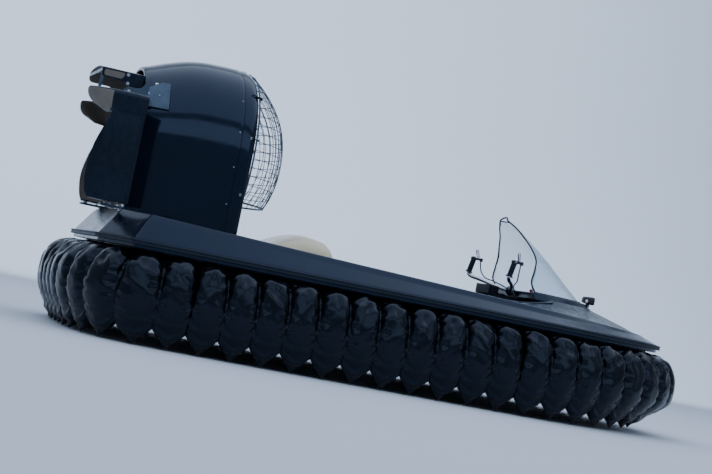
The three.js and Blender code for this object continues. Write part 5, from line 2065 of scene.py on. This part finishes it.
@dataclass
class Helm:
    """The cowl with its screen and lamp, and the steering bar with its grips, levers and cables."""

    deck: DeckMoulding = field(default_factory=DeckMoulding)
    cowl_plan: tuple[tuple[float, float], ...] = ((0.862, 0.318), (0.960, 0.326), (1.120, 0.268),
                                                  (1.260, 0.160), (1.345, 0.062))
    cowl_rings: tuple[tuple[float, float], ...] = (
        (0.600, 0.052), (0.655, 0.042), (0.680, 0.029), (0.700, 0.011), (0.7095, 0.003), (0.7145, 0.0),
        (0.7167, -0.005))
    screen: Table = field(default_factory=lambda: Table(
        ((0.7173, 1.306, 0.868, 0.296), (0.770, 1.236, 0.842, 0.304), (0.840, 1.142, 0.846, 0.306),
         (0.903, 1.058, 0.848, 0.298), (0.969, 0.968, 0.824, 0.256), (1.030, 0.885, 0.790, 0.190),
         (1.082, 0.815, 0.752, 0.132), (1.125, 0.736, 0.716, 0.050))))
    tilt: float = math.radians(44.4)
    lean: tuple[float, float, float] = (0.19, 0, 1)
    riser: tuple[tuple[float, ...], ...] = (
        (0.832, 0, 0.708), (0.812, 0.060, 0.712), (0.775, 0.165, 0.728), (0.720, 0.262, 0.748),
        (0.686, 0.312, 0.758), (0.674, 0.329, 0.772), (0.6768, 0.330, 0.790), (0.6840, 0.330, 0.825),
        (0.6953, 0.330, 0.884))
    cable: tuple[tuple[float, ...], ...] = (
        (0.7282, 0.324, 0.871), (0.736, 0.323, 0.868), (0.740, 0.318, 0.842), (0.745, 0.303, 0.802),
        (0.762, 0.262, 0.765), (0.788, 0.180, 0.750), (0.815, 0.100, 0.734), (0.840, 0.056, 0.718),
        (0.858, 0.040, 0.706))

    def build(self) -> None:
        """Builds every piece."""
        self._cowl()
        self._screen()
        self._lamp()
        self._column()
        self._bar()

    def _on_axis(self, up: float) -> Array:
        """A point of the steering axis."""
        return np.array([0.850 - up * math.sin(self.tilt), 0, 0.690 + up * math.cos(self.tilt)])

    def _cowl(self) -> None:
        """The moulding under the screen, over the cockpit's front edge, with the stop switch; the console."""
        side = resampled([*self.cowl_plan, (1.360, 0.015)], 34)
        run = np.gradient(side, axis=0)
        out = stacked(-run[:, 1], run[:, 0]) / np.linalg.norm(run, axis=1)[:, None]
        out[0], out[-1] = (0, 1), (1, 0)
        rings = []
        for z, flare in self.cowl_rings:
            port = side + flare * out
            rings.append(stacked(*np.concatenate([port, port[::-1] * (1, -1)]).T, z))
        cowl = loft("cowl_block", rings, HULL_GELCOAT, crease=50)
        notch = rounded(rectangle(0.80, -0.072, 0.908, 0.072), 0.02, 5)
        cut(cowl, extruded("knee_room", rectangle(0.80, -0.9, 0.951, 0.9), 2, 0.5, 0.676, HULL_GELCOAT))
        cut(cowl, extruded("column_room", notch, 2, 0.5, 0.9, HULL_GELCOAT))
        bevelled(cowl, 0.003, 2, 50)
        settle(cowl, "gelcoat", "cowl")
        body = [(0, 0.004), (0, 0.017), (0.004, 0.017), (0.005, 0.010), (0.008, 0.010), (0.008, 0.004)]
        button = [(0, 0.004), (0, 0.0125), (0.003, 0.0150), (0.013, 0.0150), (0.017, 0.012), (0.0185, 0.003)]
        stop = [revolved("stop_body", body, (0.984, 0, 0.7168), (0, 0, 1), BLACK_PLASTIC, 24),
                revolved("stop_button", button, (0.984, 0, 0.7247), (0, 0, 1), RED_CAP, 24)]
        settle(joined("stop_switch", stop), "black_plastic")
        cap = [(0, 0.02), (0, 0.030), (0.003, 0.032), (0.014, 0.032), (0.017, 0.030), (0.017, 0.012)]
        filler = revolved("filler_cap", cap, (0.80, 0.055, 0.6635), (0, 0, 1), BLACK_PLASTIC, 24)
        pod = joined("console_body", [refined("console_pod", CONSOLE_SKIN, 0.008, 4), filler])
        settle(pod, "gelcoat", "console_pod")

    def _screen(self) -> None:
        """The bent screen and the rubber edge round it."""
        across = np.linspace(-1, 1, 65)
        across = 0.35 * np.sin(across * math.pi / 2) + 0.65 * across
        fall = 1 - np.abs(across) ** 2.1
        rings = []
        for z in np.linspace(self.screen.keys[0], self.screen.keys[-1], 48):
            ridge, edge, half = self.screen.at(z)[0]
            x = edge + (ridge - edge) * fall
            inner = stacked(x - 0.0045, across * (half - 0.0018), z)
            rings.append(np.concatenate([stacked(x, across * half, z), inner[::-1]]))
        pane = loft("wind_screen", rings, SCREEN_ACRYLIC, crease=50)
        settle(pane, "clear_screen", "windshield")
        edge = [(rear - 0.006, half + 0.003, z + 0.004)
                for z, (_, rear, half) in zip(self.screen.keys, self.screen.values)]
        port = [(0.870, 0.302, 0.7225), *edge[1:], (0.715, 0.036, 1.139)]
        starboard = [(x, -y, z) for x, y, z in port[::-1]]
        edging = tube("screen_edging", [*port, (0.722, 0.0, 1.1475), *starboard], 0.0048, RUBBER, 150, 10)
        ridge, rear, half = self.screen.values[0]
        foot = stacked(rear + (ridge + 0.005 - rear) * fall, across * (half + 0.004), 0.7205)
        seal = piece_from("screen_seal", *swept(foot, circle(0.0038, 8)), RUBBER)
        settle(joined("screen_rubber", [edging, seal]), "rail_rubber", "windshield_trim")

    def _lamp(self) -> None:
        """The flared bow lamp on its stem."""
        rings = []
        for x, half, low, high in ((1.342, 0.020, 0.732, 0.762), (1.344, 0.0235, 0.729, 0.7655),
                                   (1.356, 0.026, 0.727, 0.768), (1.380, 0.0295, 0.7245, 0.7705),
                                   (1.399, 0.0335, 0.722, 0.772), (1.405, 0.034, 0.722, 0.772),
                                   (1.408, 0.0325, 0.7235, 0.7705)):
            outline = rounded(rectangle(-half, low, half, high), (0.008, 0.008, 0.017, 0.017), 6)
            rings.append(stacked(x, *outline.T))
        shell = loft("lamp_shell", rings, BLACK_PLASTIC, crease=40)
        foot = self.deck.top_at(1.378, 0.47)
        stem = [(0, 0.0205), (0.0, 0.022), (0.004, 0.022), (0.007, 0.013), (0.010, 0.0115),
                (0.727 - foot, 0.0115), (0.727 - foot, 0.009)]
        post = revolved("lamp_stem", stem, (1.378, 0, foot), (0, 0, 1), BLACK_PLASTIC, 24)
        face = extruded("lamp_lens", rounded(rectangle(-0.0285, 0.7275, 0.0285, 0.766), 0.012, 5), 0, 1.4075,
                        1.4088, OPAL, 0.0004)
        dome = [(0, 0.005), (0, 0.0105), (0.0015, 0.0105), (0.003, 0.007), (0.0032, 0.002)]
        spots = [revolved("side_window", dome, (1.357, side * 0.0245, 0.741), (0, side, 0), OPAL, 20)
                 for side in (-1, 1)]
        settle(joined("bow_lamp", [shell, post, face, *spots]), "black_plastic", "bow_light")

    def _column(self) -> None:
        """The sleeve that the bar turns in, with its bolted foot."""
        spots = [((x, side * 0.035, 0.674), (0, 0, 1)) for side in (-1, 1) for x in (0.845, 0.918)]
        column = joined("steering_sleeve", [refined("steering_column", BLACK_PLASTIC, 0.002),
                                            fasteners("column_bolts", spots, 0.0055, ZINC)])
        settle(column, "black_plastic", "steering_column")

    def _bar(self) -> None:
        """The chrome bar with its clamp, grips, control heads, levers and cables."""
        tubes = [tube("bar_half", [(x, side * y, z) for x, y, z in self.riser], 0.011, CHROME, 70, 20)
                 for side in (1, -1)]
        axis = self._on_axis(1) - self._on_axis(0)
        clamp = [(0, 0.018), (0, 0.0225), (0.002, 0.024), (0.036, 0.024), (0.038, 0.0225), (0.038, 0.010)]
        nut = [(0, 0.011), (0.0, 0.0125), (0.0055, 0.0125), (0.0065, 0.011), (0.0065, 0.004)]
        hub = revolved("bar_hub", clamp, self._on_axis(0.006), axis, DARK_STEEL, 32)
        cap = revolved("hub_nut", nut, self._on_axis(0.044), axis, ZINC, 6)
        settle(joined("steering_bar_tube", [*tubes, hub, cap]), "chrome", "handlebar", body=Body.BAR)
        for side, sign in (("port", 1), ("starboard", -1)):
            self._grip(side, sign)
            self._head(side, sign)
            self._cable(side, sign)

    def _handle(self, z: float, sign: int) -> Array:
        """A point of the upright handle's middle."""
        return np.array([0.674 + (z - 0.772) * self.lean[0], sign * 0.330, z])

    def _grip(self, side: str, sign: int) -> None:
        """A ribbed rubber sleeve with a flange at its foot.

        Args:
            side: its side.
            sign: 1 for port, -1 for starboard.
        """
        profile = [(0, 0.0114), (0, 0.0228), (0.001, 0.024), (0.0045, 0.024), (0.0065, 0.0215),
                   (0.0085, 0.0172)]
        for at in 0.011 + np.arange(16) * 0.0042:
            profile += [(at, 0.0160), (at + 0.0012, 0.0170), (at + 0.0030, 0.0170)]
        profile += [(0.0795, 0.0163), (0.0835, 0.0165), (0.0845, 0.0155), (0.0845, 0.0114)]
        grip = revolved(f"grip_sleeve_{side}", profile, self._handle(0.779, sign), self.lean, RUBBER, 28)
        settle(grip, "rail_rubber", f"grip_{side}", body=Body.BAR)

    def _head(self, side: str, sign: int) -> None:
        """The clamp on top of the handle, with its lug and the thumb lever.

        Args:
            side: its side.
            sign: 1 for port, -1 for starboard.
        """
        y = sign * 0.326
        ring = [(0, 0.0114), (0, 0.0185), (0.0015, 0.020), (0.0145, 0.020), (0.016, 0.0185), (0.016, 0.0114)]
        clamp = revolved("head_clamp", ring, self._handle(0.863, sign), self.lean, BLACK_PLASTIC, 28)
        plan = rounded(rectangle(0.702, y - 0.008, 0.744, y + 0.008), 0.004)
        lug = extruded("head_lug", plan, 2, 0.865, 0.877, BLACK_PLASTIC, 0.0015)
        button = [(0, 0.003), (0, 0.009), (0.002, 0.011), (0.020, 0.011), (0.022, 0.009), (0.022, 0.003)]
        knob = revolved("lug_knob", button, (0.742, y, 0.859), (0, 0, 1), BLACK_PLASTIC, 20)
        route = resampled([(0.719, y, 0.873), (0.7185, sign * 0.331, 0.888), (0.713, sign * 0.337, 0.910),
                           (0.706, sign * 0.340, 0.931)], 22)
        swell = np.interp(np.linspace(0, 1, 22), (0, 0.08, 0.93, 1), (0.6, 1.0, 1.0, 0.75))
        paddle = swept(route, circle(0.0105, 18, 0.7), swell=swell, up=(0, 1, 0.01))
        spots = [((0.716, y, 0.877), (0, 0, 1)), ((0.6935, sign * 0.3497, 0.872), (0, sign, 0))]
        parts = [clamp, lug, knob, piece_from("thumb_lever", *paddle, CHROME),
                 fasteners("lever_pin", spots, 0.0034, ZINC, sides=12)]
        settle(joined(f"throttle_head_{side}", parts), "black_plastic", f"control_head_{side}", body=Body.BAR)

    def _cable(self, side: str, sign: int) -> None:
        """A control cable from the head to the hub.

        Args:
            side: its side.
            sign: 1 for port, -1 for starboard.
        """
        path = resampled([(x, sign * y, z) for x, y, z in self.cable], 40)
        cable = piece_from(f"cable_{side}", *swept(path, circle(0.004, 12)), RUBBER)
        settle(cable, "rail_rubber", f"control_cable_{side}", body=Body.BAR)


@dataclass
class Studio:
    """A pale seamless floor and backdrop, soft lights, and the camera at the photograph's angle."""

    camera_place: tuple[float, float, float] = (-3.2148, -9.5, 0.4485)
    yaw: float = 0.3058
    pitch: float = 0.0387
    roll: float = 0.1978
    focal_length: float = 83.48
    half_width: float = 26.0
    near: float = -20.0
    far: float = 19.0
    sweep_radius: float = 7.0
    wall_height: float = 22.0

    def camera(self) -> None:
        """Places the camera."""
        data = bpy.data.cameras.new("photo_camera")
        data.sensor_width = 36.0
        data.lens = self.focal_length
        camera = linked("photo_camera", data)
        ahead = Vector((math.sin(self.yaw) * math.cos(self.pitch), math.cos(self.yaw) * math.cos(self.pitch),
                        math.sin(self.pitch)))
        right = Vector((math.cos(self.yaw), -math.sin(self.yaw), 0))
        level = Matrix((right, right.cross(ahead), -ahead)).transposed()
        turned = level @ Matrix.Rotation(self.roll, 3, "Z")
        camera.matrix_world = Matrix.Translation(Vector(self.camera_place) + Vector(SHIFT)) @ turned.to_4x4()
        bpy.context.scene.camera = camera

    def floor(self) -> None:
        """A floor that sweeps up behind the craft without an edge."""
        start = self.far - self.sweep_radius
        turn = np.linspace(0, math.pi / 2, 24)
        profile = [(self.near, 0.0), (start, 0.0)]
        profile += [(start + self.sweep_radius * math.sin(t), self.sweep_radius * (1 - math.cos(t)))
                    for t in turn[1:]]
        profile.append((self.far, self.wall_height))
        points = [(side * self.half_width, y, z) for y, z in profile for side in (-1, 1)]
        card = Finish("matt_studio_card", "dfe3e7", "d9dde2", 0.85, Pattern.MATT, patch_size=3.0,
                      patch_share=0.3, detail_size=0.02, detail_depth=0.0001)
        floor = piece_from("studio_floor", points, grid(len(profile), 2), card, crease=180, outward=False)

    def lights(self) -> None:
        """A very large soft ceiling, a side box and a wash on the backdrop, in a dim surround."""
        boxes = (
            ("overhead_box", (0.0, 0.0, 8.0), (0.0, 0.0, 0.0), (18.0, 14.0), 880, "d3e2ff"),
            ("starboard_box", (0.0, -11.5, 6.5), (0.0, 0.0, 0.5), (24.0, 5.0), 500, "d2e2fb"),
            ("wall_box", (0.0, 9.5, 7.0), (0.0, 19.0, 5.0), (26.0, 6.0), 2100, "d9e7fd"),
        )
        for name, place, target, (width, height), power, colour in boxes:
            data = bpy.data.lights.new(name, "AREA")
            data.shape = "RECTANGLE"
            data.size, data.size_y = width, height
            data.energy = power
            data.color = linear(colour)[:3]
            light = linked(name, data)
            light.location = place
            light.rotation_euler = (Vector(target) - Vector(place)).to_track_quat("-Z", "Y").to_euler()
        world = bpy.data.worlds.new("studio_surround")
        world.use_nodes = True
        background = world.node_tree.nodes["Background"]
        background.inputs["Color"].default_value = linear("bcd0ec")
        background.inputs["Strength"].default_value = 0.5
        bpy.context.scene.world = world

    def build(self) -> None:
        """Sets up the whole studio."""
        self.camera()
        self.floor()
        self.lights()


def main() -> None:
    """Builds every sub-assembly in order."""
    logging.basicConfig(level=logging.INFO, format="%(name)s: %(message)s")
    Studio().build()
    deck = DeckMoulding()
    deck.build()
    deck.rail()
    Skirt().build()
    Duct().build()
    FanGroup().build()
    BucketGroup().build()
    Cockpit().build()
    Helm().build()


if __name__ == "__main__":
    main()
